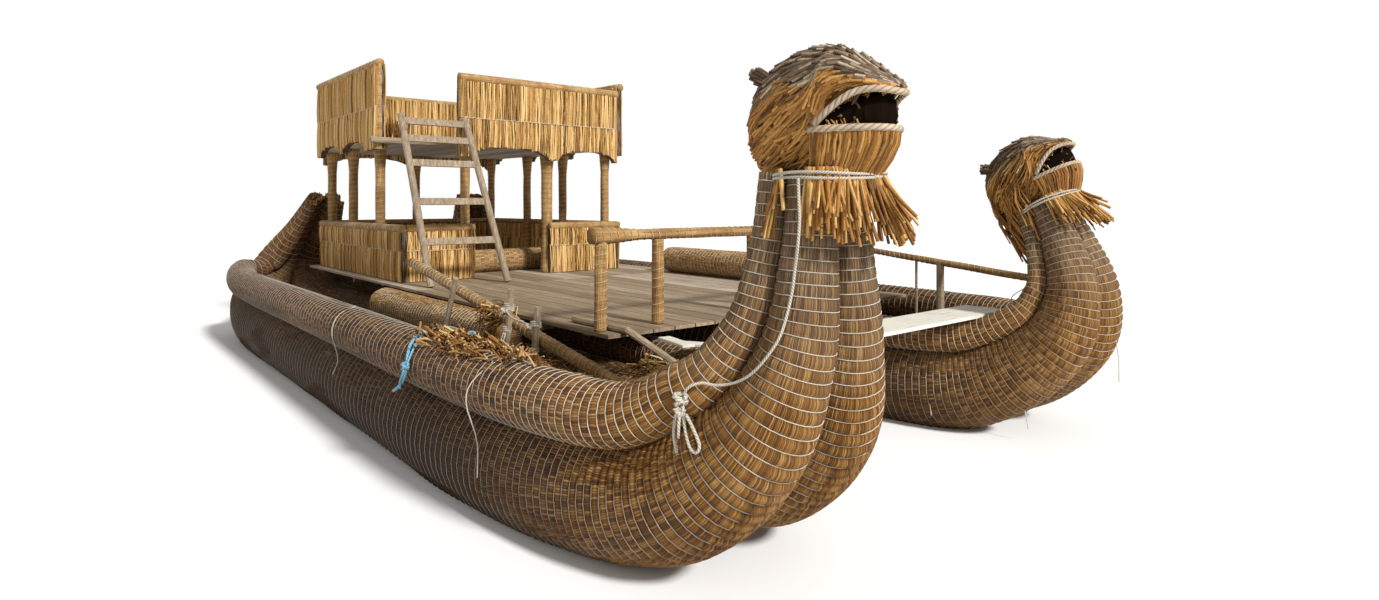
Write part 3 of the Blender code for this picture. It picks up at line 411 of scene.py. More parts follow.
class Finish:
    """A material under construction: its nodes, by one method, and its Principled shader."""

    def __init__(self, name, roughness=0.8):
        self.material = bpy.data.materials.new(name)
        self.material.use_nodes = True
        self.tree = self.material.node_tree
        self.shader = self.tree.nodes["Principled BSDF"]
        self.shader.inputs["Roughness"].default_value = roughness
        self.shader.inputs["Specular IOR Level"].default_value = 0.25

    def node(self, kind, settings=None, values=None, output=0):
        """A node of a kind: its settings first, then values or links for its sockets; returns one output."""
        made = self.tree.nodes.new(kind)
        for name, setting in (settings or {}).items():
            if name == "stops":
                self.set_stops(made.color_ramp, setting)
            else:
                setattr(made, name, setting)
        for name, value in (values or {}).items():
            if isinstance(value, Value):
                self.tree.links.new(value.socket, made.inputs[name])
            else:
                made.inputs[name].default_value = value
        return Value(self, made.outputs[output])

    def set_stops(self, ramp, stops):
        """Fill a colour ramp with (place, colour) stops."""
        while len(ramp.elements) < len(stops):
            ramp.elements.new(1.0)
        for element, (place, colour) in zip(ramp.elements, stops):
            element.position = place
            element.color = (*colour, 1.0)

    def ramp(self, value, *stops):
        """A colour from a value through (place, colour) stops."""
        return self.node("ShaderNodeValToRGB", {"stops": stops}, {"Fac": value})

    def mix(self, factor, first, second, blend="MIX"):
        """A colour between two, by a factor."""
        tints = {}
        for place, tint in ((6, first), (7, second)):
            tints[place] = tint if isinstance(tint, Value) else (*tint, 1.0)
        settings = {"data_type": "RGBA", "blend_type": blend}
        return self.node("ShaderNodeMix", settings, {0: factor, **tints}, output=2)

    def place(self, stretch=(1, 1, 1)):
        """The piece's own coordinates in metres, stretched along its axes."""
        where = self.node("ShaderNodeTexCoord", output=3)
        return self.node("ShaderNodeMapping", None, {"Vector": where, "Scale": stretch})

    def fibre(self, stretch=(1, 1, 1)):
        """The piece's own metres along and round it, stretched."""
        where = self.node("ShaderNodeUVMap", {"uv_map": "Fibre"})
        return self.node("ShaderNodeMapping", None, {"Vector": where, "Scale": stretch})

    def parts(self, vector):
        """The three parts of a vector."""
        split = self.node("ShaderNodeSeparateXYZ", None, {"Vector": vector})
        return split, Value(self, split.socket.node.outputs[1]), Value(self, split.socket.node.outputs[2])

    def noise(self, vector, scale=1.0, detail=2.0, rough=0.5):
        """Smooth noise from 0 to 1."""
        return self.node("ShaderNodeTexNoise", None,
                         {"Vector": vector, "Scale": scale, "Detail": detail, "Roughness": rough})

    def cells(self, vector):
        """A random value for each whole step of a vector."""
        whole = self.node("ShaderNodeVectorMath", {"operation": "FLOOR"}, {0: vector})
        return self.node("ShaderNodeTexWhiteNoise", {"noise_dimensions": "3D"}, {"Vector": whole})

    def fold(self, value):
        """0 at each whole number of a value, rising to 0.5 halfway between two."""
        return self.node("ShaderNodeMath", {"operation": "PINGPONG"}, {0: value, 1: 0.5})

    def tone(self):
        """The tone that the piece's stems carry."""
        return self.node("ShaderNodeAttribute", {"attribute_name": "tone"}, output=2)

    def stained(self, tint, scale, dirt):
        """A tint with darker stains."""
        stain = self.noise(self.place(), scale, 4.0, 0.65)
        return self.mix(stain.between(0.35, 0.75) * dirt, tint, darker(tint, 0.5))

    def colour(self, value):
        """Give the surface its colour."""
        self.tree.links.new(value.socket, self.shader.inputs["Base Color"])

    def relief(self, height, depth, strength=1.0):
        """Raise the surface by a height map of a depth in metres."""
        bump = self.node("ShaderNodeBump", None, {"Height": height, "Distance": depth, "Strength": strength})
        self.tree.links.new(bump.socket, self.shader.inputs["Normal"])


def darker(colour, share):
    """A colour times a share."""
    return tuple(part * share for part in colour)


def blend_of(first, second, share):
    """A colour between two."""
    return tuple(a + (b - a) * share for a, b in zip(first, second))


# Finishes

def bundle_finish(name, pitch, strand=0.018, grey=0.0, gold=0.0, fresh=0.0):
    """Tied reeds: strands along the piece, broken at each tie, weathered high up, with painted shade at the
    ties, between the reeds and low down aft (partly damp reed at the water), and painted sunlight on the bow.

    Strand is the width of one reed; grey, gold and fresh shift the colour by a share.
    """
    tint = colours()
    pale, golden, brown, weathered = tint.reed_pale, tint.reed_gold, tint.reed_brown, tint.reed_grey
    made = Finish(name, 0.8)
    along, across, _ = made.parts(made.fibre())
    row = (along / pitch).math("FLOOR")
    wander = made.noise(made.fibre((7.0, 20.0, 1)), 1.0, 2.0, 0.5)
    reed = across / strand + row * 0.37 + wander * 1.6
    reed_shade = made.cells(made.node("ShaderNodeCombineXYZ", None, {0: row, 1: reed, 2: 0.0}))
    strands = made.noise(made.fibre((2.2, 1 / strand, 1)), 1.0, 3.0, 0.6)
    fine = made.noise(made.fibre((9.0, 5.0 / strand, 1)), 1.0, 2.0, 0.6)
    patches = made.noise(made.place((0.5, 1.3, 1.3)), 1.6, 3.0, 0.6)
    shade = reed_shade * 0.56 + strands * 0.66 + fine * 0.34 + patches * 0.42 - 0.52
    body = made.ramp(shade, (0.0, darker(brown, 0.45)), (0.24, brown), (0.5, golden),
                     (0.78, pale), (1.0, blend_of(pale, (0.78, 0.58, 0.32), 0.5)))
    worn = made.ramp(shade, (0.0, darker(weathered, 0.25)), (0.35, darker(weathered, 0.75)),
                     (0.65, blend_of(weathered, pale, 0.45)), (1.0, (0.62, 0.47, 0.30)))
    body = made.mix(patches.between(0.40, 0.70) * (0.55 + grey), body, worn)
    if fresh:
        young = made.ramp(
            shade, (0.0, (0.15, 0.07, 0.02)), (0.42, (0.46, 0.26, 0.08)), (1.0, (0.84, 0.60, 0.29)))
        body = made.mix(fresh, body, young)
    if gold:
        body = made.mix(gold, body, golden, "OVERLAY")
    edge = made.fold(reed)
    # Painted shade in the gaps between the reeds
    reed_gap_shade = (1 - edge.between(0.02, 0.20)) * reed_shade.between(0.05, 0.6)
    body = made.mix(reed_gap_shade * 0.80, body, darker(brown, 0.25))
    # Painted shade where the reeds sink under each tie
    body = made.mix((1 - made.fold(along / pitch).between(0.0, 0.15)) * 0.62, body, darker(brown, 0.28))
    run, _, height = made.parts(made.place())
    aft = 1 - run.between(3.4, 5.9)
    # Painted sunlight: a brighter, warmer gold on the bow
    bow = run.between(4.6, 6.0) * (1 - (height + patches * 0.6).between(1.7, 2.3))
    painted_sunlight = made.ramp(
        shade, (0.0, darker(brown, 0.7)), (0.45, (0.27, 0.115, 0.018)), (1.0, (0.62, 0.36, 0.10)))
    body = made.mix(bow * 0.52, body, painted_sunlight)
    body = made.mix((height + patches * 0.8).between(1.4, 2.4) * 0.85 * run.between(2.0, 4.0), body, worn)
    # Painted shade: darker low down and aft, where the hull's side lies in shadow, partly damp reed at the
    # water
    low = 1 - (height + patches * 0.35 + reed_shade * 0.15).between(0.40, 1.25)
    side = aft * (1 - height.between(1.15, 1.7)) * (0.42 - 0.42 * fresh)
    body = made.mix(low * (aft * 0.46 + 0.34) + side, body, darker(brown, 0.45))
    made.colour(body)
    made.relief(edge.between(0.0, 0.35) * 0.6 + strands * 0.5 + fine * 0.25 + reed_shade * 0.25, 0.008, 1.0)
    return made.material


def stem_finish(name, low, middle, high):
    """Loose reed stems: each has a tone of its own, with fine streaks."""
    made = Finish(name, 0.7)
    streak = made.noise(made.place(), 45.0, 3.0, 0.6)
    shade = made.tone() * 0.8 + streak * 0.45 - 0.12
    made.colour(made.ramp(shade, (0.0, low), (0.5, middle), (1.0, high)))
    made.relief(streak, 0.002, 0.5)
    return made.material


def dark_finish(name, tint):
    """The inside of the mouth, painted shade: nearly black, without a sheen."""
    made = Finish(name, 1.0)
    made.shader.inputs["Specular IOR Level"].default_value = 0.0
    fibres = made.noise(made.place((30, 30, 4)), 1.0, 3.0, 0.6)
    made.colour(made.mix(fibres, darker(tint, 0.3), tint))
    made.relief(fibres, 0.01, 1.0)
    return made.material


def twine_finish(name, tint, dirt=0.5, low_darkening=0.0):
    """Plastic twine and rope, dirty in places, and darker aft and low on the hull, most at the water."""
    made = Finish(name, 0.75)
    fibres = made.noise(made.place(), 260.0, 2.0, 0.6)
    body = made.stained(tint, 6.0, dirt)
    body = made.mix(fibres.between(0.3, 0.8) * 0.35, body, darker(tint, 0.62))
    # Darker aft and low on the hull, and most at the water
    if low_darkening:
        run, _, height = made.parts(made.place())
        low = (1 - run.between(3.4, 6.0)) * (1 - height.between(0.8, 1.5))
        low_dark_share = (low + (1 - height.between(0.1, 0.7)) * 0.6).between(0.0, 1.0)
        body = made.mix(low_dark_share * low_darkening, body, darker(tint, 0.22))
    made.colour(body)
    made.relief(fibres, 0.0012, 0.6)
    return made.material


def rope_finish(name, tint, lay, dirt=0.35):
    """Laid rope: three strands that turn once round it in each lay."""
    made = Finish(name, 0.75)
    along, turn, _ = made.parts(made.fibre())
    strand = made.fold((turn + along / lay) * 3)
    fibres = made.noise(made.place(), 320.0, 2.0, 0.6)
    body = made.stained(tint, 7.0, dirt)
    # Painted shade in the grooves between the strands
    body = made.mix((1 - strand.between(0.0, 0.24)) * 0.75, body, darker(tint, 0.28))
    body = made.mix(fibres.between(0.35, 0.8) * 0.3, body, darker(tint, 0.6))
    made.colour(body)
    made.relief(strand.between(0.0, 0.4) + fibres * 0.2, 0.004, 0.9)
    return made.material


def wood_finish(name, stretch, tint, board=None):
    """Weathered wood, its grain along the axis that is stretched least; board is a plank's width across Y."""
    made = Finish(name, 0.85)
    grain = made.noise(made.place(stretch), 1.0, 5.0, 0.65)
    fine = made.noise(made.place(tuple(part * 3.1 for part in stretch)), 1.0, 3.0, 0.6)
    shade = grain * 0.7 + fine * 0.35
    if board:
        shade = shade + made.cells(made.place((0.001, 1 / board, 0.001))) * 0.35 - 0.16
    patches = made.noise(made.place(), 1.7, 4.0, 0.65)
    bleached = blend_of(tint, (0.75, 0.70, 0.62), 0.55)
    body = made.ramp(shade, (0.2, darker(tint, 0.35)), (0.5, tint), (0.85, bleached))
    body = made.mix(patches.between(0.45, 0.8) * 0.4, body, darker(tint, 0.55))
    made.colour(body)
    made.relief(grain * 0.6 + fine * 0.4, 0.004, 0.8)
    return made.material


def wrapped_finish(name, low, high, pitch):
    """Reed wrapped round a pole: strands along it with a twine ring's shade at each step."""
    made = Finish(name, 0.8)
    along, _, _ = made.parts(made.fibre())
    strands = made.noise(made.fibre((3.0, 95.0, 1)), 1.0, 3.0, 0.65)
    patches = made.noise(made.place(), 5.0, 3.0, 0.6)
    body = made.ramp(strands * 0.8 + patches * 0.5 - 0.15, (0.1, darker(low, 0.5)), (0.45, low), (0.9, high))
    body = made.mix((1 - made.fold(along / pitch).between(0.0, 0.16)) * 0.32, body, darker(low, 0.3))
    made.colour(body)
    made.relief(strands, 0.005, 0.9)
    return made.material


def floor_finish():
    """The pale floor: plain, and as light as the backdrop where the camera sees it."""
    made = Finish("pale_floor", 0.9)
    made.colour(made.mix(made.noise(made.place(), 0.4) * 0.04, (0.93, 0.93, 0.92), (0.91, 0.91, 0.90)))
    return made.material


# Mesh helpers

def smooth_path(route, count):
    """Count points on a smooth curve through the route's rows; every column is smoothed alike."""
    rows = np.array(route, float)
    rows = np.vstack([2 * rows[0] - rows[1], rows, 2 * rows[-1] - rows[-2]])
    places = np.linspace(0, len(rows) - 3, count)
    span = np.minimum(places.astype(int), len(rows) - 4)
    t = (places - span)[:, None]
    before, start, end, after = (rows[span + shift] for shift in range(4))
    return 0.5 * (2 * start + (end - before) * t + (2 * before - 5 * start + 4 * end - after) * t ** 2
                  + (3 * start - before - 3 * end + after) * t ** 3)


def lengths(points):
    """Distance along points from the first."""
    return np.concatenate([[0], np.cumsum(np.linalg.norm(np.diff(points, axis=0), axis=1))])


def resample(columns, travelled, places):
    """Columns of a path read at places along it."""
    return np.stack([np.interp(places, travelled, column) for column in np.array(columns).T], axis=1)


def directions(points):
    """Unit directions of travel at each point."""
    run = np.gradient(points, axis=0)
    return run / np.linalg.norm(run, axis=1)[:, None]


def in_scene(name, data):
    """A new object in the scene."""
    obj = bpy.data.objects.new(name, data)
    bpy.context.scene.collection.objects.link(obj)
    return obj


def carry(data, key, row, kind="FLOAT", part="value"):
    """Let a mesh's points carry a named value."""
    layer = data.attributes.new(key, kind, "POINT")
    layer.data.foreach_set(part, np.asarray(row, dtype=np.float32).ravel())


def new_mesh(name, points, faces, material, uv=None, smooth=True):
    """An object at the origin from points and faces, with its Fibre map."""
    data = bpy.data.meshes.new(name)
    data.from_pydata([tuple(point) for point in points], [], faces)
    if uv is not None:
        layer = data.uv_layers.new(name="Fibre")
        layer.data.foreach_set("uv", np.asarray(uv, dtype=np.float32).ravel())
    data.materials.append(material)
    if smooth:
        data.polygons.foreach_set("use_smooth", [True] * len(data.polygons))
    return in_scene(name, data)


def tube(name, points, across, radii, material, sides=24, relief=None, turns=False, along=None):
    """A closed roll along points: across is the side direction of each ring; relief adds to the radii.

    Its map is in metres along and round it, or in metres and whole turns; along replaces the metres.
    """
    points = np.asarray(points, float)
    count = len(points)
    run = directions(points)
    side = np.broadcast_to(np.asarray(across, float), points.shape)
    side = side - run * (side * run).sum(1)[:, None]
    side = side / np.linalg.norm(side, axis=1)[:, None]
    up = np.cross(run, side)
    turn = np.linspace(0, 2 * math.pi, sides, endpoint=False)
    radius = np.broadcast_to(np.asarray(radii, float).reshape(-1, 1), (count, sides)).copy()
    if relief is not None:
        radius += relief(lengths(points)[:, None], turn[None, :])
    rings = (points[:, None, :] + radius[:, :, None] * (
        np.cos(turn)[None, :, None] * side[:, None, :] + np.sin(turn)[None, :, None] * up[:, None, :]))
    vertices = rings.reshape(-1, 3)
    travelled = lengths(points) if along is None else along
    girth = 1.0 if turns else 2 * math.pi * float(np.max(np.asarray(radii)))
    faces, uv = [], []
    for i in range(count - 1):
        for j in range(sides):
            k = (j + 1) % sides
            faces.append((i * sides + j, i * sides + k, (i + 1) * sides + k, (i + 1) * sides + j))
            low, high = j / sides * girth, (j + 1) / sides * girth
            start, stop = travelled[i], travelled[i + 1]
            uv += [(start, low), (start, high), (stop, high), (stop, low)]
    middle = len(vertices)
    vertices = np.vstack([vertices, points[0] - run[0] * 0.001, points[-1] + run[-1] * 0.001])
    for j in range(sides):
        k = (j + 1) % sides
        faces.append((k, j, middle))
        uv += [(travelled[0], k / sides * girth), (travelled[0], j / sides * girth), (travelled[0], 0)]
        base = (count - 1) * sides
        faces.append((base + j, base + k, middle + 1))
        uv += [(travelled[-1], j / sides * girth), (travelled[-1], k / sides * girth), (travelled[-1], 0)]
    return new_mesh(name, vertices, faces, material, uv)


def join(name, pieces):
    """Several mesh objects as one; materials and maps stay."""
    for obj in bpy.context.view_layer.objects:
        obj.select_set(False)
    for piece in pieces:
        piece.select_set(True)
    bpy.context.view_layer.objects.active = pieces[0]
    if len(pieces) > 1:
        bpy.ops.object.join()
    made = bpy.context.view_layer.objects.active
    made.name = name
    made.data.name = name
    return made


def paint(obj, material):
    """Give an object one material only."""
    obj.data.materials.clear()
    obj.data.materials.append(material)


def dress(obj, slot, *nodes):
    """Let a finished piece ride on the boat and stand for CAD nodes; the slot is not used."""
    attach(obj, BODY)
    if nodes:
        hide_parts(*nodes)
    return obj


# Geometry Nodes

def new_tree(name, inputs):
    """A geometry tree with named inputs; returns it with its input sockets."""
    tree = bpy.data.node_groups.new(name, "GeometryNodeTree")
    tree.interface.new_socket("Geometry", in_out="INPUT", socket_type="NodeSocketGeometry")
    for label, kind in inputs:
        tree.interface.new_socket(label, in_out="INPUT", socket_type="NodeSocket" + kind)
    tree.interface.new_socket("Geometry", in_out="OUTPUT", socket_type="NodeSocketGeometry")
    return tree, tree.nodes.new("NodeGroupInput").outputs


def add_node(tree, kind, values=None, output=0, **settings):
    """A node of a kind: its settings first, then values or links for its sockets; returns one output."""
    made = tree.nodes.new(kind)
    for name, setting in settings.items():
        setattr(made, name, setting)
    for name, value in (values or {}).items():
        if isinstance(value, bpy.types.NodeSocket):
            tree.links.new(value, made.inputs[name])
        else:
            made.inputs[name].default_value = value
    return made.outputs[output] if made.outputs else None


def named_value(tree, name, kind="FLOAT"):
    """A value that the points carry."""
    return add_node(tree, "GeometryNodeInputNamedAttribute", {"Name": name}, "Attribute", data_type=kind)


def circle(tree, corners):
    """A round curve of radius 1."""
    return add_node(tree, "GeometryNodeCurvePrimitiveCircle", {"Radius": 1.0, "Resolution": corners}, "Curve")


def end_tree(tree, mesh, material):
    """Close a tree: plain geometry with its material."""
    plain = add_node(tree, "GeometryNodeRealizeInstances", {"Geometry": mesh})
    painted = add_node(tree, "GeometryNodeSetMaterial", {"Geometry": plain, "Material": material})
    add_node(tree, "NodeGroupOutput", {"Geometry": painted})
    return tree


def stems_tree():
    """Lines become round closed stems; a seeded random value makes some of them thicker."""
    tree, given = new_tree("Reed stems", (
        ("Sides", "Int"), ("Girth", "Float"), ("Uneven", "Float"), ("Seed", "Int"), ("Material", "Material")))
    lines = add_node(tree, "GeometryNodeMeshToCurve", {"Mesh": given["Geometry"]})
    stem = add_node(tree, "FunctionNodeFloatToInt", {0: named_value(tree, "stem")})
    chance = add_node(tree, "FunctionNodeRandomValue", {"Seed": given["Seed"], "ID": stem}, 1)
    swing = add_node(
        tree, "ShaderNodeMath", {0: chance, 1: given["Uneven"], 2: 1.0}, operation="MULTIPLY_ADD")
    own = add_node(tree, "ShaderNodeMath", {0: swing, 1: named_value(tree, "girth")}, operation="MULTIPLY")
    radius = add_node(tree, "ShaderNodeMath", {0: own, 1: given["Girth"]}, operation="MULTIPLY")
    skin = add_node(tree, "GeometryNodeCurveToMesh", {
        "Curve": lines, "Profile Curve": circle(tree, given["Sides"]), "Scale": radius, "Fill Caps": True})
    return end_tree(tree, skin, given["Material"])


def rings_tree():
    """A twine ring at each point, as wide as the point says and square to its own direction."""
    tree, given = new_tree("Twine rings", (
        ("Segments", "Int"), ("Twine Radius", "Float"), ("Material", "Material")))
    aim = named_value(tree, "aim", "FLOAT_VECTOR")
    turn = add_node(tree, "FunctionNodeAlignRotationToVector", {"Vector": aim}, axis="Z")
    rings = add_node(tree, "GeometryNodeInstanceOnPoints", {
        "Points": given["Geometry"], "Instance": circle(tree, given["Segments"]), "Rotation": turn,
        "Scale": named_value(tree, "reach")})
    plain = add_node(tree, "GeometryNodeRealizeInstances", {"Geometry": rings})
    skin = add_node(tree, "GeometryNodeCurveToMesh", {
        "Curve": plain, "Profile Curve": circle(tree, 3), "Scale": given["Twine Radius"]})
    return end_tree(tree, skin, given["Material"])


TREES = {}


def grow(obj, name, tree_maker, inputs):
    """Run a geometry tree on an object and keep the result as a plain mesh piece."""
    label = tree_maker.__name__
    if label not in TREES:
        TREES[label] = tree_maker()
    tree = TREES[label]
    modifier = obj.modifiers.new("grow", "NODES")
    modifier.node_group = tree
    for item in tree.interface.items_tree:
        if item.in_out == "INPUT" and item.name in inputs:
            modifier[item.identifier] = inputs[item.name]
    bpy.context.view_layer.update()
    graph = bpy.context.evaluated_depsgraph_get()
    data = bpy.data.meshes.new_from_object(obj.evaluated_get(graph))
    bpy.data.objects.remove(obj, do_unlink=True)
    data.name = name
    return in_scene(name, data)


def a_tone(dice, middle, spread):
    """A stem's tone, about a middle and from 0 to 1."""
    return min(max(dice.normal(middle, spread), 0.0), 1.0)


class Lines:
    """Stems collected as lines: each has points, a girth along it and a tone."""

    def __init__(self):
        self.points, self.edges = [], []
        self.values = {"girth": [], "tone": [], "stem": []}
        self.count = 0

    def add(self, points, girth=1.0, tone=0.5, taper=(1.0, 1.0)):
        """One stem along points; taper is the share of the girth at its foot and its tip."""
        first = len(self.points)
        total = len(points)
        self.points.extend(points)
        self.edges.extend((first + i, first + i + 1) for i in range(total - 1))
        self.values["girth"].extend(girth * (taper[0] + (taper[1] - taper[0]) * np.linspace(0, 1, total)))
        self.values["tone"].extend([tone] * total)
        self.values["stem"].extend([self.count] * total)
        self.count += 1

    def grow(self, name, material, girth=None, sides=None, uneven=0.35, seed=7):
        """The stems as one plain mesh piece."""
        data = bpy.data.meshes.new(name)
        data.from_pydata([tuple(point) for point in self.points], self.edges, [])
        for key, row in self.values.items():
            carry(data, key, row)
        made = grow(in_scene(name + "_lines", data), name, stems_tree, {
            "Sides": sides or sizes().tube_sides, "Girth": girth or sizes().stem_radius, "Uneven": uneven,
            "Seed": seed, "Material": material})
        made.data.polygons.foreach_set("use_smooth", [True] * len(made.data.polygons))
        return made


def twine_rings(name, places, aims, reaches, material, segments):
    """Twine rings at places, square to their aims."""
    data = bpy.data.meshes.new(name)
    data.from_pydata([tuple(place) for place in places], [], [])
    carry(data, "aim", aims, "FLOAT_VECTOR", "vector")
    carry(data, "reach", reaches)
    return grow(in_scene(name + "_points", data), name, rings_tree, {
        "Segments": segments, "Twine Radius": sizes().twine_radius, "Material": material})


def level_sides(path):
    """Side directions that turn as little as they can along a path."""
    run = directions(path)
    side = np.cross(run[0], (0.31, 0.17, 0.93))
    sides = []
    for way in run:
        side = side - way * side.dot(way)
        side = side / np.linalg.norm(side)
        sides.append(side)
    return np.array(sides)


def rope(name, points, radius, material, sides=8, count=0):
    """A laid rope along points, or along a smooth curve through them where a count is given."""
    points = smooth_path(points, count) if count else np.asarray(points, float)
    total = lengths(points)[-1]
    steps = max(int(total / (radius * 1.6)), 6)
    path = resample(points, lengths(points), np.linspace(0, total, steps))
    return tube(name, path, level_sides(path), radius, material, sides, turns=True)


def knot(name, place, size, radius, material, seed):
    """A lumpy knot: the rope turns three times round itself at a place."""
    turn = np.linspace(0, 6 * math.pi, 40)
    wave = np.random.default_rng(seed).uniform(0.3, 0.5)
    points = size * np.stack([np.cos(turn) * (0.8 + 0.25 * np.cos(turn * wave)), 0.8 * np.sin(turn * 1.06),
                              0.9 * np.sin(turn * 0.5 + wave)], axis=1)
    return rope(name, points + np.array(place), radius, material)


# The hulls

def hull_lines(side, count=400):
    """Paths and radii of one hull's bundles and gunwale rolls, on the solids' routes but finely stepped."""
    axis = smooth_path(HULL_STATIONS + PROW_STATIONS[side], count)
    run = np.gradient(axis[:, :2], axis=0)
    run = run / np.linalg.norm(run, axis=1)[:, None]
    normal = np.stack([-run[:, 1], np.zeros(count), run[:, 0]], axis=1)
    lines = {}
    for row, outward in (("outer", SIDES[side]), ("inner", -SIDES[side])):
        ratio = 1.0 if row == "outer" else INNER_ROLL_RATIO
        radius, roll = axis[:, 2], axis[:, 3] * ratio
        centre = SIDES[side] * (HULL_OFFSET - axis[:, 4] * STERN_INSET[side])
        middle = np.stack([axis[:, 0], centre + outward * radius, axis[:, 1]], axis=1)
        seat = np.array([0, outward * math.cos(SEAT_ANGLE), 0]) + normal * math.sin(SEAT_ANGLE)
        lines["bundle_" + row] = (middle, radius)
        lines["gunwale_" + row] = (middle + seat * (radius + roll)[:, None], roll)
    return lines


def tied_roll(name, points, radii, across, pitch, sides, material, cinch, wobble=0.012, seed=1, spread=0.0):
    """A roll of reeds that swells between its ties; returns it with the places, aims and reaches of the ties.

    Cinch is the swell and wobble the unevenness, as shares of the radius. Spread is how much wider apart the
    ties stand towards the stern, where the swell between them fades too.
    """
    travelled = lengths(points)
    aft = np.clip((TIES_OPEN_FROM - points[:, 0]) / TIES_OPEN_OVER, 0, 1)
    gaps = pitch * (1 + spread * aft)
    if spread:
        fade = np.clip((SWELL_FADES_FROM - points[:, 0]) / SWELL_FADES_OVER, 0, 1)
        cinch = cinch * (1 - SWELL_FADE * fade)
    cinch = np.broadcast_to(cinch, travelled.shape)
    number = np.concatenate([[0], np.cumsum(np.diff(travelled) / (gaps[1:] + gaps[:-1]) * 2)])
    ties = np.arange(1, number[-1])
    steps = np.unique(np.concatenate([ties, ties - TIE_SHOULDER, ties + TIE_SHOULDER, [0.0, number[-1]]]))
    steps = steps[steps <= number[-1]]
    places = np.interp(steps, number, travelled)
    path = resample(points, travelled, places)
    radius = np.interp(places, travelled, radii)
    away = np.abs(steps - np.round(steps)) * 2
    swell = radius * np.interp(places, travelled, cinch) * (np.minimum(away * 2.2, 1.0) - TIE_DEPTH)
    uneven = radius * wobble * (0.2 + 0.8 * np.minimum(away * 2, 1.0))
    phase = np.random.default_rng(seed).uniform(0, 2 * math.pi, 4)

    def relief(along, turn):
        lumps = (np.sin(3 * turn + phase[0] + along * 1.7) + 0.7 * np.sin(5 * turn + phase[1] - along * 2.9)
                 + 0.5 * np.sin(9 * turn + phase[2] + along * 5.0))
        return swell[:, None] + uneven[:, None] * lumps

    roll = tube(name, path, across, radius, material, sides, relief, along=steps * pitch)
    ties = np.interp(ties, number, travelled)
    places = resample(points, travelled, ties)
    aims = resample(directions(points), travelled, ties)
    pinch = np.interp(ties, travelled, cinch) * TWINE_DEPTH
    reaches = np.interp(ties, travelled, radii) * (1 - pinch + wobble * 0.35) + sizes().twine_radius * 0.9
    return roll, places, aims, reaches


# Heads

def neck_frame(side):
    """The head's frame on the neck's top, and the bundle radius there."""
    axis = smooth_path(HULL_STATIONS + PROW_STATIONS[side], HULL_RINGS)
    last, before = axis[-1], axis[-2]
    lean = math.atan2(last[0] - before[0], last[1] - before[1])
    place = Vector((last[0], SIDES[side] * HULL_OFFSET, last[1]))
    return Matrix.Translation(place) @ Matrix.Rotation(lean, 4, "Y"), last[2]


def skull_point(section, turn):
    """A point on the skull in the head's frame: section from 0 at the nape to 1 at the nose."""
    rows = np.array(SKULL_SECTIONS)
    place = np.clip(section, 0, 1) * (len(rows) - 1)
    x, width, top, bottom = (np.interp(place, np.arange(len(rows)), rows[:, i]) for i in range(4))
    middle, half = (top + bottom) / 2, (top - bottom) / 2
    return Vector((x * HEAD_LENGTH, width * HEAD_WIDTH / 2 * math.cos(turn), middle + half * math.sin(turn)))


def jaw_point(height_share, turn, out=0.0):
    """A point on the jaw in the head's frame: turn 0 is at the front."""
    rows = np.array(JAW_RINGS)
    height = height_share * rows[-1, 0]
    front, half = (np.interp(height, rows[:, 0], rows[:, i]) for i in (1, 2))
    return Vector(((front + out) * math.cos(turn), (half + out) * math.sin(turn), height))


def section_body(name, head, sections, material, share=1.0):
    """A closed body through upright oval sections in the head's frame."""
    rows, sides = 3 * len(sections), 28
    columns = smooth_path(sections, rows)
    vertices, faces = [], []
    for x, width, top, bottom in columns:
        middle, half = (top + bottom) / 2, (top - bottom) / 2 * share
        breadth = width * share * HEAD_WIDTH / 2
        for step in range(sides):
            turn = 2 * math.pi * step / sides
            point = Vector((x * HEAD_LENGTH, breadth * math.cos(turn), middle + half * math.sin(turn)))
            vertices.append(head @ point)
    for i in range(rows - 1):
        for j in range(sides):
            low, high, k = i * sides, (i + 1) * sides, (j + 1) % sides
            faces.append((low + j, high + j, high + k, low + k))
    faces.append(tuple(range(sides)))
    faces.append(tuple(reversed(range((rows - 1) * sides, rows * sides))))
    return new_mesh(name, vertices, faces, material)


def board(name, middle, size, turn, material):
    """A sawn board with worn corners, turned about Z."""
    shape = bmesh.new()
    bmesh.ops.create_cube(shape, size=1.0)
    bmesh.ops.scale(shape, vec=size, verts=shape.verts)
    bmesh.ops.bevel(shape, geom=shape.edges[:], offset=size[2] * 0.18, segments=2, affect="EDGES")
    place = Matrix.Translation(middle) @ Matrix.Rotation(turn, 4, "Z")
    bmesh.ops.transform(shape, matrix=place, verts=shape.verts)
    data = bpy.data.meshes.new(name)
    shape.to_mesh(data)
    shape.free()
    data.materials.append(material)
    return in_scene(name, data)


class REEDBOAT_OT_camera(Operator):
    """Camera at the photograph's viewing angle"""

    bl_idname = "reed_boat.camera"
    bl_label = "Camera"

    def execute(self, context):
        camera = in_scene("camera", bpy.data.cameras.new("camera"))
        camera.data.sensor_width = SENSOR_WIDTH
        camera.data.lens = FOCAL_PIXELS / PHOTO_WIDTH * SENSOR_WIDTH
        camera.data.shift_y = (HORIZON_ROW - PHOTO_HEIGHT / 2) / PHOTO_WIDTH
        camera.data.clip_end = 400
        camera.location = CAMERA_PLACE
        camera.rotation_euler = CAMERA_TURN
        context.scene.camera = camera
        return {"FINISHED"}


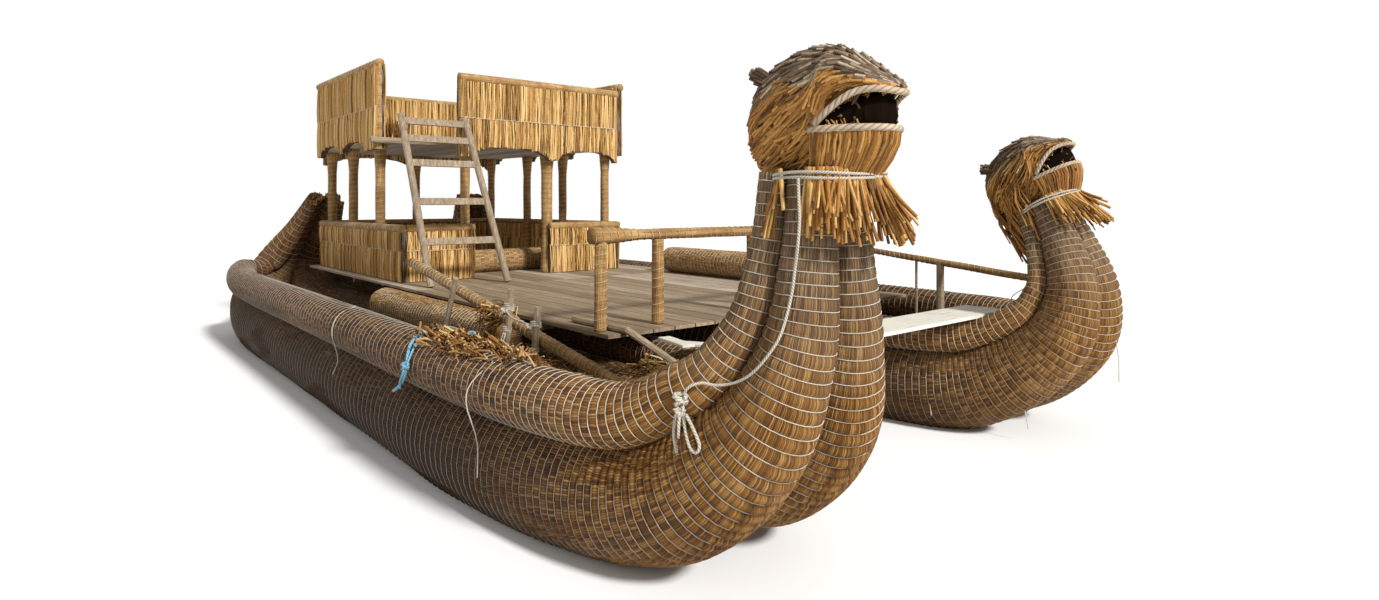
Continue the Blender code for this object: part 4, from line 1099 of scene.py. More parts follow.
class REEDBOAT_OT_cords(Operator):
    """The blue rope over the gunwale and the slack line from the neck"""

    bl_idname = "reed_boat.cords"
    bl_label = "Cords"

    def execute(self, context):
        tint = colours()
        blue = rope_finish("blue_rope_finish", tint.blue_rope, 0.08, 0.3)
        white = rope_finish("white_rope_finish", tint.twine, 0.05)
        for node, route, radius, material, slot, end in (
                ("blue_rope", BLUE_ROPE, BLUE_ROPE_RADIUS, blue, "blue_rope", "bare"),
                ("neck_line", NECK_LINE, NECK_LINE_RADIUS, white, "rope", "knot")):
            path = smooth_path(route, CORD_STEPS)
            piece = rope(node + "_laid", path, radius, material)
            dress(piece, slot, node)
        return {"FINISHED"}


class REEDBOAT_OT_hulls(Operator):
    """Bundles and gunwale rolls with their twine rings"""

    bl_idname = "reed_boat.hulls"
    bl_label = "Hulls"

    def execute(self, context):
        size = sizes()
        finishes = {
            "bundle": bundle_finish("bundle_reed", size.bundle_tie_pitch, grey=-0.27, gold=0.18),
            "gunwale": bundle_finish("gunwale_reed", size.roll_tie_pitch, grey=-0.16, gold=0.20),
        }
        # Each kind's tie pitch, corners round it, corners of its twine rings, and spread of its ties aft
        kinds = {
            "bundle": (size.bundle_tie_pitch, 46, 28, 0.9),
            "gunwale": (size.roll_tie_pitch, 30, 20, 0.7),
        }
        twine = twine_finish("hull_twine", colours().twine, low_darkening=0.8)
        for side, detail in DETAIL.items():
            for name, (points, radii) in hull_lines(side).items():
                kind = name.split("_")[0]
                pitch, sides, segments, spread = kinds[kind]
                node = f"{side}_{name}"
                roll, places, aims, reaches = tied_roll(
                    node + "_reeds", points, radii, (0, 1, 0), pitch, int(sides * max(detail, 0.65)),
                    finishes[kind], cinch=0.055, seed=len(node), spread=spread)
                dress(roll, "weathered_reed", node)
                segments = int(segments * (0.75 if detail < 1 else 1))
                dress(twine_rings(node + "_twine", places, aims, reaches, twine, segments), "rope")
        return {"FINISHED"}


class REEDBOAT_OT_heads(Operator):
    """Reed heads with rope lips, straw teeth, ears, neck ties and fringes"""

    bl_idname = "reed_boat.heads"
    bl_label = "Heads"

    def execute(self, context):
        tint = colours()
        brown, grey = tint.reed_brown, tint.reed_grey
        self.skin = stem_finish("head_stems", darker(brown, 0.55), (0.34, 0.155, 0.035), (0.58, 0.32, 0.09))
        self.crest = stem_finish("crest_stems", darker(brown, 0.40), darker(grey, 0.75), (0.52, 0.42, 0.30))
        self.gold = stem_finish("fringe_stems", darker(brown, 0.6), (0.35, 0.160, 0.034), (0.74, 0.47, 0.17))
        self.chin = stem_finish("jaw_stems", darker(brown, 0.6), (0.25, 0.105, 0.020), (0.50, 0.27, 0.070))
        # Painted shade inside the open mouth: a nearly black throat
        self.dark = dark_finish("mouth_painted_shade", (0.014, 0.008, 0.005))
        # Painted shade: the dark core that shows between the skull's reeds
        self.under = twine_finish("head_core_shade", darker(brown, 0.7), 0.6)
        self.white = rope_finish("neck_rope", tint.twine, 0.05)
        self.lip = rope_finish("lip_rope", blend_of(tint.twine, tint.reed_pale, 0.45), 0.12, 0.7)
        for side in SIDES:
            self.head, self.radius = neck_frame(side)
            self.detail = DETAIL[side]
            self.dice = np.random.default_rng(11 if side == "starboard" else 12)
            self.make_skull(side)
            self.make_jaw(side)
            self.make_fringe(side)
            if side == "port":
                self.make_mane(side)
            self.make_mouth(side)
            self.make_ties(side)
        return {"FINISHED"}

    def make_skull(self, side):
        """Dark core, painted as the shade between the reeds, and rows of reeds over it that lie back from the
        nose with their tips lifted.
        """
        dice, head = self.dice, self.head
        core = section_body(f"{side}_head_core_shade", head, SKULL_SECTIONS, self.under, 0.985)
        dress(core, "head_reed", f"{side}_skull")
        lines, top_lines = Lines(), Lines()
        rows = 13
        for row in range(rows):
            count = int((150 - 5 * row) * self.detail)
            for index in range(count):
                turn = -math.pi / 2 + 2 * math.pi * (index + dice.uniform(0, 1)) / count
                tip = 0.93 * row / rows + dice.normal(0, 0.014)
                if tip + 0.02 > MOUTH_CORNER and math.sin(turn) < -0.62:
                    continue
                length = dice.uniform(0.12, 0.23)
                sweep = -0.40 * math.cos(turn) + dice.normal(0, 0.13)
                lift = dice.uniform(0.004, 0.030)
                points = []
                for share in (0.0, 0.4, 0.75, 1.0):
                    where = min(tip + length * (1 - share), 0.995)
                    around = turn + sweep * (share - 0.5)
                    base = skull_point(where, around)
                    out = (base - skull_point(where, around + math.pi)).normalized()
                    points.append(head @ (base + out * (0.003 + lift * share ** 2)))
                crown = math.sin(turn) + 0.25 * tip > 0.50 + dice.normal(0, 0.10)
                tone = a_tone(dice, 0.48, 0.33)
                (top_lines if crown else lines).add(points, dice.uniform(1.1, 2.1), tone, (1.1, 0.7))
        self.add_ears(top_lines)
        dress(lines.grow(f"{side}_head_reeds", self.skin, seed=3), "head_reed")
        dress(top_lines.grow(f"{side}_crest_reeds", self.crest, seed=4), "head_reed")

    def add_ears(self, lines):
        """Two short sheaves that stick out behind the crown."""
        dice = self.dice
        for outward in (-1, 1):
            root = Vector((-0.27 * HEAD_LENGTH, outward * HEAD_WIDTH / 2 * 0.62, 0.50))
            aim = Vector((-0.62, outward * 0.5, 0.45)).normalized()
            for _ in range(42):
                around = Vector([dice.normal(0, 1) for _ in range(3)])
                around = (around - aim * around.dot(aim)).normalized() * dice.uniform(0.005, 0.042)
                reach = aim * dice.uniform(0.08, 0.14)
                points = [root + around * 0.6, root + around + reach * 0.5, root + around * 1.15 + reach]
                lines.add([self.head @ point for point in points], 1.5, dice.uniform(0.0, 0.35))

    def make_jaw(self, side):
        """Upright jaw reeds in two layers."""
        dice, stems = self.dice, Lines()
        count = int(150 * self.detail)
        for layer, out in enumerate((-0.008, 0.003)):
            for index in range(count):
                turn = JAW_SWEEP * (2 * (index + 0.5 * layer) / count - 1) + dice.normal(0, 0.012)
                points = []
                for share in (-0.1, 0.3, 0.65, 1.0 + dice.uniform(0, 0.05)):
                    around = turn + dice.normal(0, 0.012)
                    points.append(self.head @ jaw_point(share, around, out + dice.uniform(0, 0.007)))
                stems.add(points, dice.uniform(0.9, 1.7), a_tone(dice, 0.52, 0.30), (0.9, 1.1))
        dress(stems.grow(f"{side}_jaw_reeds", self.chin, seed=5), "fringe_reed", f"{side}_jaw")

    def make_fringe(self, side):
        """Cut stems that hang and flare under the neck ties."""
        dice, stems = self.dice, Lines()
        for index in range(int(300 * self.detail)):
            behind = index % 5 == 0
            turn = dice.uniform(108, 150) * dice.choice((-1, 1)) if behind else dice.uniform(-70, 70)
            turn = math.radians(turn)
            front = max(math.cos(turn - 0.5), 0.0)
            drop = dice.uniform(0.20, 0.37) + 0.07 * front * dice.uniform(0, 1)
            flare = dice.uniform(0.015, 0.09) + 0.13 * front * dice.uniform(0, 1) ** 2
            drift = dice.normal(0, 0.10)
            points = []
            for share in (0.0, 0.33, 0.66, 1.0):
                spread = -0.012 + flare * share ** 1.3
                around = turn + drift * share
                points.append(self.head @ self.tie_point(around, 0.02 - drop * share, spread))
            stems.add(points, dice.uniform(1.1, 2.0), a_tone(dice, 0.5, 0.3), (1.0, 0.85))
        dress(stems.grow(f"{side}_fringe", self.gold, seed=9), "fringe_reed", f"{side}_collar")

    def make_mane(self, side):
        """Long reeds that hang from the back of the far head down its neck."""
        dice, stems = self.dice, Lines()
        for _ in range(260):
            behind = dice.uniform(0.0, 1.0)
            turn = math.radians(-90 + dice.normal(0, 52))
            root = self.head @ skull_point(0.06 + 0.36 * behind, turn)
            drop = dice.uniform(0.22, 0.42) + 0.12 * behind
            drift = Vector((0.20 - 0.05 * behind + dice.normal(0, 0.04), dice.normal(0, 0.03), 0))
            middle = root + Vector((drift.x * 0.3 - 0.02, drift.y * 0.5, -0.5 * drop))
            points = [root, middle, root + drift + Vector((0, 0, -drop))]
            stems.add(points, dice.uniform(1.1, 2.0), a_tone(dice, 0.42, 0.3), (1.0, 0.8))
        dress(stems.grow(f"{side}_mane", self.skin, seed=15), "fringe_reed")

    def tie_point(self, turn, height, out=0.0):
        """A point on the oval of the neck tie in the head's frame."""
        reach = (TIE_FRONT if math.cos(turn) > 0 else TIE_BACK) * self.radius + out
        return Vector((reach * math.cos(turn), (TIE_BREADTH * self.radius + out) * math.sin(turn), height))

    def make_mouth(self, side):
        """The throat, nearly black as painted shade, straw teeth, cut stubs at the mouth's sides and the rope
        lips.
        """
        dice, head = self.dice, self.head
        throat = section_body(f"{side}_throat", head, THROAT_SECTIONS, self.dark)
        dress(throat, "head_reed")
        teeth, stubs = Lines(), Lines()
        for _ in range(int(90 * self.detail)):
            turn = math.radians(dice.uniform(-80, 80))
            foot = head @ jaw_point(0.97, turn, -0.03)
            reach = Vector((dice.uniform(-0.07, 0.0), dice.uniform(-0.04, 0.04), dice.uniform(0.01, 0.065)))
            teeth.add([foot, foot + reach * 0.5, foot + reach], dice.uniform(0.5, 1.0), dice.uniform(0.4, 1))
        for _ in range(int(50 * self.detail)):
            foot = head @ skull_point(dice.uniform(0.62, 0.98), math.radians(dice.choice((-52, -128))))
            reach = Vector((dice.uniform(-0.05, 0.02), dice.uniform(-0.02, 0.02), -dice.uniform(0.01, 0.05)))
            teeth.add([foot, foot + reach], dice.uniform(0.5, 0.9), dice.uniform(0.2, 0.8))
        for _ in range(int(60 * self.detail)):
            place = Vector((dice.uniform(0.16, 0.385), 0, dice.uniform(0.20, 0.36)))
            half = 0.225 * (1 - (place.x / 0.42) ** 2) + 0.012
            place.y = dice.choice((-1, 1)) * half * dice.uniform(0.9, 1.0)
            reach = Vector((dice.normal(0.02, 0.02), dice.normal(0, 0.012), dice.normal(-0.04, 0.03)))
            stubs.add([head @ place, head @ (place + reach)], 1.2, dice.uniform(0.0, 0.45))
        dress(stubs.grow(f"{side}_mouth_stubs", self.crest, seed=6), "head_reed")
        dress(teeth.grow(f"{side}_teeth", self.gold, seed=6), "fringe_reed")

        low = [head @ jaw_point(1.0, 1.03 * JAW_SWEEP * (step / 12 - 1), 0.010) for step in range(25)]
        near = smooth_path(LIP, 26)
        high = [(x, -y, z) for x, y, z in near] + [(x, y, z) for x, y, z in near[-2::-1]]
        lips = [rope(f"{side}_low_lip", low, 0.019, self.lip),
                rope(f"{side}_high_lip", [head @ Vector(point) for point in high], 0.018, self.lip)]
        dress(join(f"{side}_lips", lips), "rope")

    def make_ties(self, side):
        """Two turns of white rope round the neck's top."""
        ties = []
        for index, drop in enumerate((0.010, 0.034)):
            ring = []
            for step in range(61):
                height = 0.006 * math.sin(0.3 * step + index) - drop
                ring.append(self.head @ self.tie_point(math.radians(6 * step), height, 0.012))
            ties.append(rope(f"{side}_tie_{index}", ring, 0.0085, self.white))
        dress(join(f"{side}_neck_ropes", ties), "rope", f"{side}_neck_tie")


class REEDBOAT_OT_walls(Operator):
    """Upright reeds on the half walls and parapets, their tie lines and rolled edges"""

    bl_idname = "reed_boat.walls"
    bl_label = "Woven walls"

    def execute(self, context):
        tint = colours()
        brown = tint.reed_brown
        mat = stem_finish("mat_stems", darker(brown, 0.8), (0.43, 0.230, 0.060), (0.80, 0.55, 0.25))
        shade = wood_finish("mat_core", (30, 30, 3), darker(brown, 0.6))
        edge = wrapped_finish("mat_edge", (0.30, 0.16, 0.05), (0.78, 0.55, 0.26), EDGE_PITCH)
        twine = twine_finish("mat_twine", darker(tint.twine, 0.8))
        for node in frame["nodes"]:
            if node.startswith(("wall_", "parapet_")):
                core = frame["nodes"][node]
                paint(core, shade)
                self.cover(node, core, mat, twine)
                self.roll_edges(node, edge, twine)
        return {"FINISHED"}

    def roll_edges(self, node, finish, twine):
        """A tied roll over each rolled edge of the panel."""
        low, high = (np.array(corner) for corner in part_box(node))
        radius = 0.055 if node.startswith("parapet") else 0.048
        along = 0 if node in SIDE_PANELS else 1
        across = 1 - along
        outer = low[across] if node.endswith("starboard") and along == 0 or "back" in node else high[across]
        inward = radius if outer == low[across] else -radius
        ends = [low.copy(), low.copy()]
        ends[1][along] = high[along]
        for end in ends:
            end[across] = outer + inward
            end[2] = high[2] - radius
        if node.endswith("port") and along == 0:
            ends[0][across] -= self.slope(node) * (high[0] - low[0])
        routes = [ends]
        if node == "parapet_starboard":
            routes.append([ends[1] - (radius, 0, 0), ends[1] - (radius, 0, high[2] - low[2] - radius)])
        if node == "parapet_front":
            routes.append([ends[0] + (0, radius, 0), ends[0] + (0, radius, low[2] - high[2] + radius)])
        rolls, places, aims, reaches = [], [], [], []
        for index, (start, stop) in enumerate(routes):
            path = np.linspace(start, stop, EDGE_RINGS)
            side = (0, 1, 0) if abs(stop[1] - start[1]) < 0.5 * np.linalg.norm(stop - start) else (1, 0, 0)
            roll, *ties = tied_roll(
                f"{node}_edge_{index}", path, np.full(EDGE_RINGS, radius + 0.005), side, EDGE_PITCH, 16,
                finish, cinch=0.05, wobble=0.02, seed=len(node) + index)
            rolls.append(roll)
            for total, part in zip((places, aims, reaches), ties):
                total.extend(part)
        dress(join(f"{node}_edges", rolls), "mat_reed")
        dress(twine_rings(f"{node}_edge_ties", places, aims, reaches, twine, 14), "rope")

    def cover(self, node, core, mat, twine):
        """Reeds over both faces of a panel, found by rays against the panel itself."""
        low, high = (Vector(corner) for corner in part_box(node))
        shape = BVHTree.FromPolygons([core.matrix_world @ v.co for v in core.data.vertices],
                                     [tuple(p.vertices) for p in core.data.polygons])
        flat = node in SIDE_PANELS
        axis = Vector((1, 0, 0)) if flat else Vector((0, 1, 0))
        across = Vector((0, 1, 0)) if flat else Vector((1, 0, 0))
        span = (high - low).dot(axis)
        stems, ties = Lines(), Lines()
        dice = np.random.default_rng(len(node) * 7)
        # The panels that the photograph doesn't show have coarser reeds
        coarse = 1.4 if node.endswith(("wall_port", "parapet_port", "back")) else 1.0
        pitch = sizes().mat_pitch * coarse
        parapet = node.startswith("parapet")
        tier = low.z + (high.z - low.z) * (0.47 if parapet else 0.55)
        for face in (-1, 1):
            tie_points = []
            for index in range(int(span / pitch)):
                along = pitch * (index + 0.5) + dice.normal(0, 0.003)
                column = self.column(shape, low, high, axis, across, along, face)
                if column is None:
                    continue
                foot, top, at = column
                lean = dice.normal(0, 0.016)
                frayed = dice.uniform(-0.016, 0.008) if parapet else 0.0
                tiers = (foot + frayed, tier + 0.012, 0.0), (tier - 0.004, top - 0.05, 0.004)
                for start, stop, bulge in tiers:
                    if stop - start < 0.08:
                        continue
                    points = []
                    tone = a_tone(dice, 0.58, 0.33)
                    depth = dice.uniform(-0.004, 0.010)
                    for share in (0.0, 0.33, 0.67, 1.0):
                        out = depth + bulge + 0.010 * math.sin(math.pi * share)
                        point = low + axis * (along + lean * (share - 0.5) + dice.normal(0, 0.004))
                        point.z = start + (stop - start) * share
                        offset = at + across * face * (out + dice.uniform(0, 0.002))
                        if across.x:
                            point.x = offset.x
                        else:
                            point.y = offset.y + self.slope(node) * lean * (share - 0.5)
                        points.append(point)
                    stems.add(points, dice.uniform(0.8, 1.6), tone)
                if foot < tier < top:
                    spot = at + across * face * 0.016
                    tie_points.append(Vector((spot.x, spot.y, tier + 0.004 * math.sin(index * 0.9))))
            if len(tie_points) > 3:
                ties.add(tie_points, 1.0, 0.8)
        reeds = stems.grow(node + "_reeds", mat, girth=MAT_REED_RADIUS * coarse, sides=4, uneven=0.3, seed=8)
        dress(reeds, "mat_reed")
        if ties.count:
            dress(ties.grow(node + "_tie_line", twine, girth=0.006, sides=4, uneven=0.0), "rope")

    def slope(self, node):
        """How far the slanted port side moves across for one metre along."""
        return PORT_SLANT if node in SIDE_PANELS and node.endswith("port") else 0.0

    def column(self, shape, low, high, axis, across, along, face):
        """Foot and top of the panel at a place along it, and the place of its face there."""
        middle = low + (high - low) / 2
        start = Vector((low.x, low.y, 0)) + axis * along
        if across.x:
            start.x = middle.x
        else:
            start.y = middle.y
        start += across * face * RAY_REACH
        hits = []
        for z in np.arange(low.z + 0.01, high.z, 0.03):
            start.z = z
            hit = shape.ray_cast(start, -across * face)[0]
            if hit is not None and (hit - start).length < 2 * RAY_REACH:
                hits.append((z, hit))
        if len(hits) < 4:
            return None
        spot = hits[min(len(hits) - 1, int(len(hits) * 0.6))][1]
        return hits[0][0], hits[-1][0], spot


class REEDBOAT_OT_poles(Operator):
    """Wrapped posts, rails and poles with their twine"""

    bl_idname = "reed_boat.poles"
    bl_label = "Wrapped poles"

    def execute(self, context):
        tint = colours()
        wrap = wrapped_finish("wrapped_pole", (0.27, 0.14, 0.04), (0.74, 0.50, 0.21), WINDING_PITCH)
        twine = twine_finish("pole_twine", darker(tint.twine, 0.85))
        for node in frame["nodes"]:
            if node.startswith(("post_", "rail_post")):
                low, high = (Vector(corner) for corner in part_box(node))
                middle = (low + high) / 2
                widest = (high.x - low.x) / 2
                radius = widest / (1.45 if node.startswith("post_") else 1.0)
                self.post(node, middle, low.z, high.z, radius, widest, wrap, twine)
        low, high = (Vector(corner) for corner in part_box("rail_pole"))
        path = np.linspace((RAIL_X, low.y, high.z - 0.042), (RAIL_X, high.y, high.z - 0.042), POLE_RINGS)
        knob = 0.044 + 0.026 * (1 - np.clip(np.linspace(0, POLE_RINGS, POLE_RINGS) / 5 - 0.6, 0, 1))
        self.pole("rail_pole", path, knob, wrap, twine, (1, 0, 0), keep=True)
        low, high = (Vector(corner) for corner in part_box("gunwale_pole"))
        ends = (low.x + 0.02, GUNWALE_POLE_Y, high.z - 0.045), (high.x - 0.02, GUNWALE_POLE_Y, low.z + 0.045)
        self.pole("gunwale_pole", np.linspace(*ends, POLE_RINGS), 0.046, wrap, twine, (0, 1, 0))
        self.pole("port_pole", np.linspace(*PORT_POLE, 50), 0.035, wrap, twine, (0, 1, 0), keep=True)
        return {"FINISHED"}

    def post(self, node, middle, foot, head, radius, widest, wrap, twine):
        """A post that swells at its foot and head."""
        path = np.linspace((middle.x, middle.y, foot), (middle.x, middle.y, head), POST_RINGS)
        z = path[:, 2]
        radii = np.full(POST_RINGS, radius)
        if node.startswith("post_"):
            radii = np.maximum(radii, radius + (widest - radius) * (1 - (head - z) / 0.35))
            radii = np.maximum(radii, radius * (1 + 0.15 * (1 - (z - foot) / 0.25)))
        self.pole(node, path, radii, wrap, twine, (1, 0, 0))

    def pole(self, node, path, radii, wrap, twine, across, keep=False):
        """A reed-wrapped pole and the twine wound round it; with keep the CAD node stays inside."""
        dice = np.random.default_rng(len(node) + int(abs(path[0][1]) * 100))
        phase = dice.uniform(0, 6, 2)

        def relief(along, turn):
            wide = 0.0035 * np.sin(4 * turn + phase[0] + along * 2)
            return wide + 0.002 * np.sin(9 * turn + phase[1] + along * 7)

        body = tube(node + "_wrap", path, across, radii, wrap, 18, relief)
        travelled = lengths(path)
        turns = travelled[-1] / WINDING_PITCH
        places = np.linspace(0, travelled[-1], int(turns * 12))
        centre = resample(path, travelled, places)
        reach = np.interp(places, travelled, np.broadcast_to(radii, len(path))) + 0.004
        run = directions(centre)
        side = np.cross(run, (0.0, 0.0, 1.0) if abs(run[0][2]) < 0.9 else (0.0, 1.0, 0.0))
        side = side / np.linalg.norm(side, axis=1)[:, None]
        up = np.cross(run, side)
        angle = places / WINDING_PITCH * 2 * math.pi
        winding = centre + reach[:, None] * (np.cos(angle)[:, None] * side + np.sin(angle)[:, None] * up)
        lines = Lines()
        lines.add([Vector(point) for point in winding], 1.0, 0.8)
        dress(lines.grow(node + "_twine", twine, girth=0.003, sides=3, uneven=0.0), "rope")
        dress(body, "wrapped_pole", *(() if keep else (node,)))


class REEDBOAT_OT_rolls(Operator):
    """Thick tied rolls on the deck and the starboard hull"""

    bl_idname = "reed_boat.rolls"
    bl_label = "Reed rolls"

    def execute(self, context):
        finish = bundle_finish("bound_roll_reed", ROLL_PITCH, gold=0.1, fresh=0.7)
        twine = twine_finish("roll_twine", colours().twine)
        for node in ("side_roll", "bench_roll", "loose_roll", "starboard_filler_roll", "port_filler_roll"):
            along = 1 if node == "bench_roll" else 0
            filler = "filler" in node
            low, high = (np.array(corner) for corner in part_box(node))
            middle = (low + high) / 2
            radius = (high[2] - low[2]) / 2
            ends = [middle.copy(), middle.copy()]
            ends[0][along], ends[1][along] = low[along], high[along]
            path = np.linspace(ends[0], ends[1], POLE_RINGS)
            across = (0, 1, 0) if along == 0 else (1, 0, 0)
            roll, places, aims, reaches = tied_roll(
                node + "_reeds", path, np.full(POLE_RINGS, radius), across, ROLL_PITCH, 18 if filler else 32,
                finish, cinch=0.05, seed=len(node))
            dress(roll, "weathered_reed" if filler else "bound_roll", node)
            dress(twine_rings(node + "_twine", places, aims, reaches, twine, 20), "rope")
        return {"FINISHED"}


class REEDBOAT_OT_details(Operator):
    """Knots, rope tails, thin strings, straw heaps, stern ends and loose boards"""

    bl_idname = "reed_boat.details"
    bl_label = "Ropes and straw"

    def execute(self, context):
        tint = colours()
        self.white = rope_finish("detail_rope", tint.twine, 0.06)
        brown = darker(tint.reed_brown, 0.8)
        self.straw = stem_finish("loose_straw", brown, tint.reed_gold, (0.66, 0.46, 0.20))
        self.boards = wood_finish("loose_boards", (3, 24, 24), tint.board)
        self.grey = wood_finish("torn_boards", (4, 30, 30), tint.wood)
        self.ropes()
        self.strings()
        self.straw_heaps()
        self.frayed_roll()
        self.stern_ends()
        self.bow_boards()
        return {"FINISHED"}

    def ropes(self):
        """White knots and tails at the gunwale and the stakes, and the blue rope's knots and tails."""
        blue = rope_finish("blue_tail_finish", colours().blue_rope, 0.06, 0.4)
        pieces = [knot("knot", *tied, self.white, seed) for *tied, seed in WHITE_KNOTS]
        for routes, radius, count in ((GUNWALE_TAILS, 0.009, 28), (STAKE_TAILS, 0.0075, 24)):
            pieces += [rope("tail", route, radius, self.white, count=count) for route in routes]
        for x, z, turns in STAKE_WRAPS:
            turn = np.linspace(0, turns * 2 * math.pi, turns * 14)
            wrap = np.stack([x + WRAP_REACH * np.cos(turn), STAKE_Y + WRAP_REACH * np.sin(turn),
                             z + WRAP_RISE * turn / math.pi / 2], axis=1)
            pieces.append(rope("wrap", wrap, 0.008, self.white))
        dress(join("loose_ropes", pieces), "rope")
        pieces = [knot("blue_knot", *tied, blue, seed) for *tied, seed in BLUE_KNOTS]
        pieces += [rope("blue_tail", route, 0.009, blue, count=36) for route in BLUE_TAILS]
        dress(join("blue_tails", pieces), "blue_rope")

    def strings(self):
        """Thin strings that hang over the hulls, and one from the port prow to its pole."""
        lines = Lines()
        for route in STRINGS:
            lines.add([Vector(point) for point in smooth_path(route, 14)], 1.0, 0.8)
        twine = twine_finish("thin_strings", darker(colours().twine, 0.85))
        dress(lines.grow("thin_strings", twine, girth=0.0045, sides=5, uneven=0.0), "rope")

    def heap(self, lines, dice, low, high, count, spread, reach, lean):
        """Broken reeds that lie every way in a box, more along X than across."""
        for _ in range(count):
            middle = Vector([dice.uniform(a, b) for a, b in zip(low, high)])
            way = Vector((dice.normal(0, 1.0), dice.normal(0, spread), dice.normal(0, lean))).normalized()
            length = dice.uniform(*reach)
            bend = Vector((0, 0, dice.uniform(-0.02, 0.03)))
            points = [middle - way * length / 2, middle + bend, middle + way * length / 2]
            lines.add(points, dice.uniform(0.7, 1.5), a_tone(dice, 0.5, 0.3), (1.0, 0.7))

    def straw_heaps(self):
        """Frayed straw by the near gunwale and the spar, and the standing bundle on the upper floor."""
        dice = np.random.default_rng(31)
        lines = Lines()
        for row in STRAW_HEAPS:
            self.heap(lines, dice, *row)
        for _ in range(140):
            foot = Vector((dice.normal(-4.1, 0.05), dice.uniform(-1.15, -0.45), 3.11))
            tip = foot + Vector((dice.normal(0.05, 0.05), dice.normal(0, 0.07), dice.uniform(0.25, 0.55)))
            lines.add([foot, foot.lerp(tip, 0.5) + Vector((0.02, 0, 0)), tip], 1.3, dice.uniform(0, 0.6))
        dress(lines.grow("loose_straw", self.straw, seed=12), "fringe_reed")

    def frayed_roll(self):
        """Broken reeds that stand off the near gunwale roll by the stakes."""
        dice = np.random.default_rng(35)
        lines = Lines()
        points, radii = hull_lines("starboard")["gunwale_outer"]
        for _ in range(980):
            x = float(np.clip(dice.normal(3.72, 0.34), 3.0, 4.7))
            place = int(np.argmin(np.abs(points[:, 0] - x)))
            radius = float(radii[place])
            turn = math.radians(float(np.clip(dice.normal(52, 34), -10, 125)))
            out = Vector((0, math.cos(turn), math.sin(turn)))
            foot = Vector((x, points[place][1], points[place][2])) + out * (radius + 0.002)
            reach = dice.choice((-1, 1)) * dice.uniform(0.06, 0.22)
            slip = Vector((0, dice.normal(0, 0.35), dice.normal(0, 0.35))) * abs(reach)
            slip -= out * slip.dot(out)
            tip = foot + Vector((reach, 0, 0)) + slip + out * dice.uniform(0.0, 0.085)
            middle = foot.lerp(tip, 0.5) + out * 0.012
            lines.add([foot, middle, tip], dice.uniform(0.9, 2.0), a_tone(dice, 0.5, 0.38), (1.0, 0.7))
        dress(lines.grow("frayed_roll_reeds", self.straw, seed=14), "fringe_reed")

    def stern_ends(self):
        """Cut reed ends at the tips of the stern's bundles and rolls."""
        dice = np.random.default_rng(32)
        lines = Lines()
        for side in SIDES:
            for points, radii in hull_lines(side).values():
                run = Vector(points[0] - points[3]).normalized()
                level = Vector((0, 1, 0))
                flat = run.cross(level).normalized()
                for _ in range(int(9000 * radii[0] ** 2)):
                    reach = float(radii[0]) * math.sqrt(dice.uniform(0, 0.92))
                    turn = dice.uniform(0, 2 * math.pi)
                    root = Vector(points[0]) + reach * (level * math.cos(turn) + flat * math.sin(turn))
                    tip = root + run * dice.uniform(0.005, 0.04)
                    lines.add([root - run * 0.02, tip], 1.25, dice.uniform(0.2, 1.0))
        dress(lines.grow("stern_ends", self.straw, seed=13, sides=5), "weathered_reed")

    def bow_boards(self):
        """Pale boards by the near gunwale, and broken ends at the front edge of the deck."""
        dice = np.random.default_rng(33)
        edge_x, _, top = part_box("deck")[1]
        boards = []
        for index, (x, y, length, width, turn) in enumerate(PALE_BOARDS):
            middle = (x, y, 1.085 + 0.02 * index)
            boards.append(board("pale_board", middle, (length, width, 0.022), turn, self.boards))
        for _ in range(9):
            y = dice.uniform(-1.5, 2.1)
            middle = (edge_x + dice.uniform(-0.06, 0.10), y, top - 0.02)
            size = (dice.uniform(0.12, 0.3), dice.uniform(0.05, 0.11), 0.016)
            boards.append(board("torn_board", middle, size, dice.normal(0, 0.2), self.grey))
        dress(join("loose_boards", boards), "grey_wood")


class REEDBOAT_OT_woodwork(Operator):
    """Weathered wood on the deck, upper floor, ladder, logs, stakes and boards"""

    bl_idname = "reed_boat.woodwork"
    bl_label = "Woodwork"

    def execute(self, context):
        tint = colours()
        finishes = {
            "deck": wood_finish("deck_planks", (1.4, 34, 34), tint.wood, board=DECK_PLANK),
            "upper_floor": wood_finish("floor_planks", (1.6, 30, 30), tint.wood, board=FLOOR_PLANK),
            "ladder": wood_finish("ladder_wood", (34, 34, 3), (0.26, 0.19, 0.12)),
            "bow_board": wood_finish("bow_board_wood", (22, 2.0, 22), tint.board),
        }
        along = wood_finish("pole_wood", (4, 40, 40), tint.wood)
        across = wood_finish("log_wood", (40, 4, 40), tint.wood)
        upright = wood_finish("stake_wood", (40, 40, 4), tint.wood)
        rail = wood_finish("brace_reed", (5, 60, 60), blend_of(tint.reed_gold, tint.reed_brown, 0.4))
        for node, obj in frame["nodes"].items():
            if node in finishes:
                material = finishes[node]
            elif node.startswith("cross_log") or node == "notch_log":
                material = across
            elif node.startswith("stake"):
                material = upright
            elif node in ("spar", "port_pole"):
                material = along
            elif node == "rail_pole":
                material = rail
            else:
                continue
            paint(obj, material)
        return {"FINISHED"}


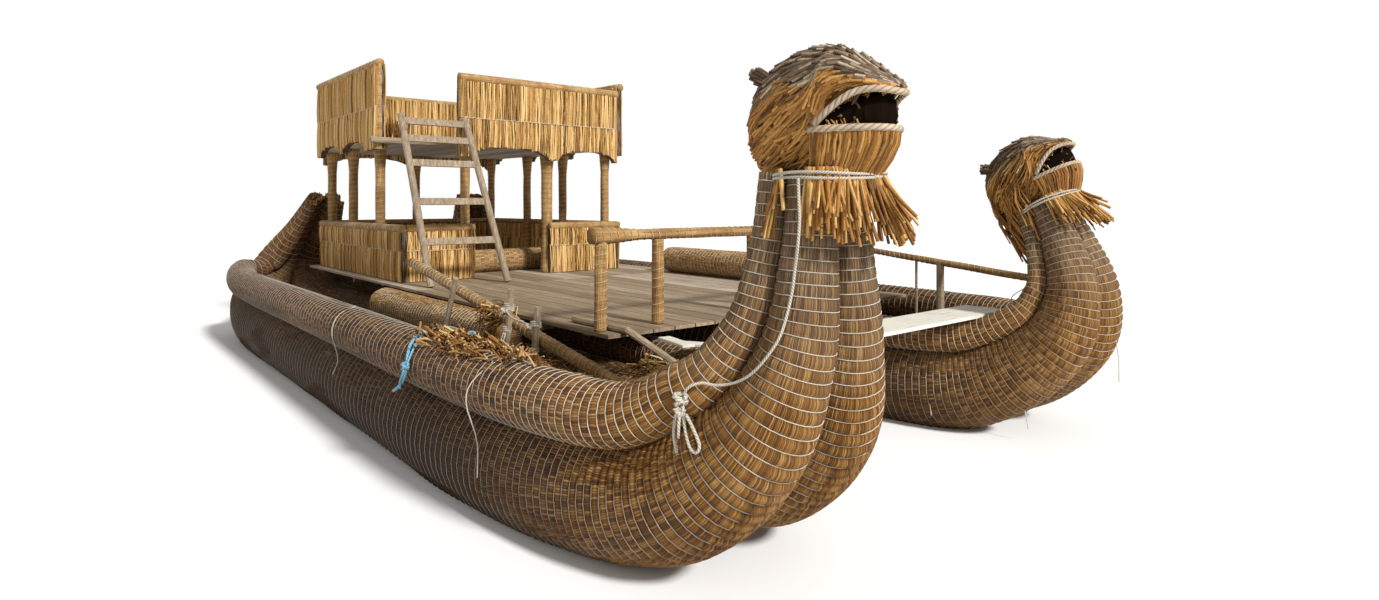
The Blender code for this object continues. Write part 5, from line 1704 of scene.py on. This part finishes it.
class REEDBOAT_OT_stage(Operator):
    """Pale floor, white backdrop and soft studio light"""

    bl_idname = "reed_boat.stage"
    bl_label = "Stage"

    def execute(self, context):
        corners = [(x * FLOOR_REACH, y * FLOOR_REACH, 0) for x, y in ((-1, -1), (1, -1), (1, 1), (-1, 1))]
        floor = new_mesh("floor", corners, [(0, 1, 2, 3)], floor_finish(), smooth=False)
        for name, toward, strength, angle in (
                ("key_light", Vector((0.84, 0.06, 0.60)), 4.3, 8),
                ("fill_light", Vector((0.5, -1.0, 0.55)), 0.25, 60)):
            lamp = in_scene(name, bpy.data.lights.new(name, "SUN"))
            lamp.data.energy = strength
            lamp.data.angle = math.radians(angle)
            lamp.rotation_euler = toward.to_track_quat("Z", "Y").to_euler()
        world = bpy.data.worlds.new("white_backdrop")
        world.use_nodes = True
        tree = world.node_tree
        tree.nodes.clear()
        ray = add_node(tree, "ShaderNodeLightPath", output="Is Camera Ray")
        lit = add_node(tree, "ShaderNodeBackground", {"Color": WORLD_TINT, "Strength": WORLD_LIGHT})
        seen = add_node(tree, "ShaderNodeBackground", {"Color": (1.0, 1.0, 1.0, 1.0)})
        choose = add_node(tree, "ShaderNodeMixShader", {0: ray, 1: lit, 2: seen})
        add_node(tree, "ShaderNodeOutputWorld", {"Surface": choose})
        context.scene.world = world
        context.scene.view_settings.view_transform = "Standard"
        return {"FINISHED"}


OPERATORS = (
    REEDBOAT_OT_camera, REEDBOAT_OT_cords, REEDBOAT_OT_hulls, REEDBOAT_OT_heads, REEDBOAT_OT_walls,
    REEDBOAT_OT_poles, REEDBOAT_OT_rolls, REEDBOAT_OT_details, REEDBOAT_OT_woodwork, REEDBOAT_OT_stage,
)


class REEDBOAT_PT_panel(Panel):
    """The boat's pieces in the 3D view's sidebar"""

    bl_idname = "REEDBOAT_PT_panel"
    bl_label = "Reed Boat"
    bl_space_type = "VIEW_3D"
    bl_region_type = "UI"
    bl_category = "Reed Boat"

    def draw(self, context):
        for group in (context.scene.reed_boat_sizes, context.scene.reed_boat_colours):
            for name in group.bl_rna.properties.keys():
                if name not in ("rna_type", "name"):
                    self.layout.prop(group, name)
        for operator in OPERATORS:
            self.layout.operator(operator.bl_idname)


CLASSES = (ReedBoatSizes, ReedBoatColours) + OPERATORS + (REEDBOAT_PT_panel,)


def register():
    """Register the classes and the scene's settings."""
    for made in CLASSES:
        bpy.utils.register_class(made)
    bpy.types.Scene.reed_boat_sizes = PointerProperty(type=ReedBoatSizes)
    bpy.types.Scene.reed_boat_colours = PointerProperty(type=ReedBoatColours)


def unregister():
    """Take the settings and classes out again."""
    del bpy.types.Scene.reed_boat_sizes
    del bpy.types.Scene.reed_boat_colours
    for made in reversed(CLASSES):
        bpy.utils.unregister_class(made)


def main():
    """Dress the boat."""
    register()
    for operator in OPERATORS:
        family, name = operator.bl_idname.split(".")
        getattr(getattr(bpy.ops, family), name)()


if __name__ == "__main__":
    main()
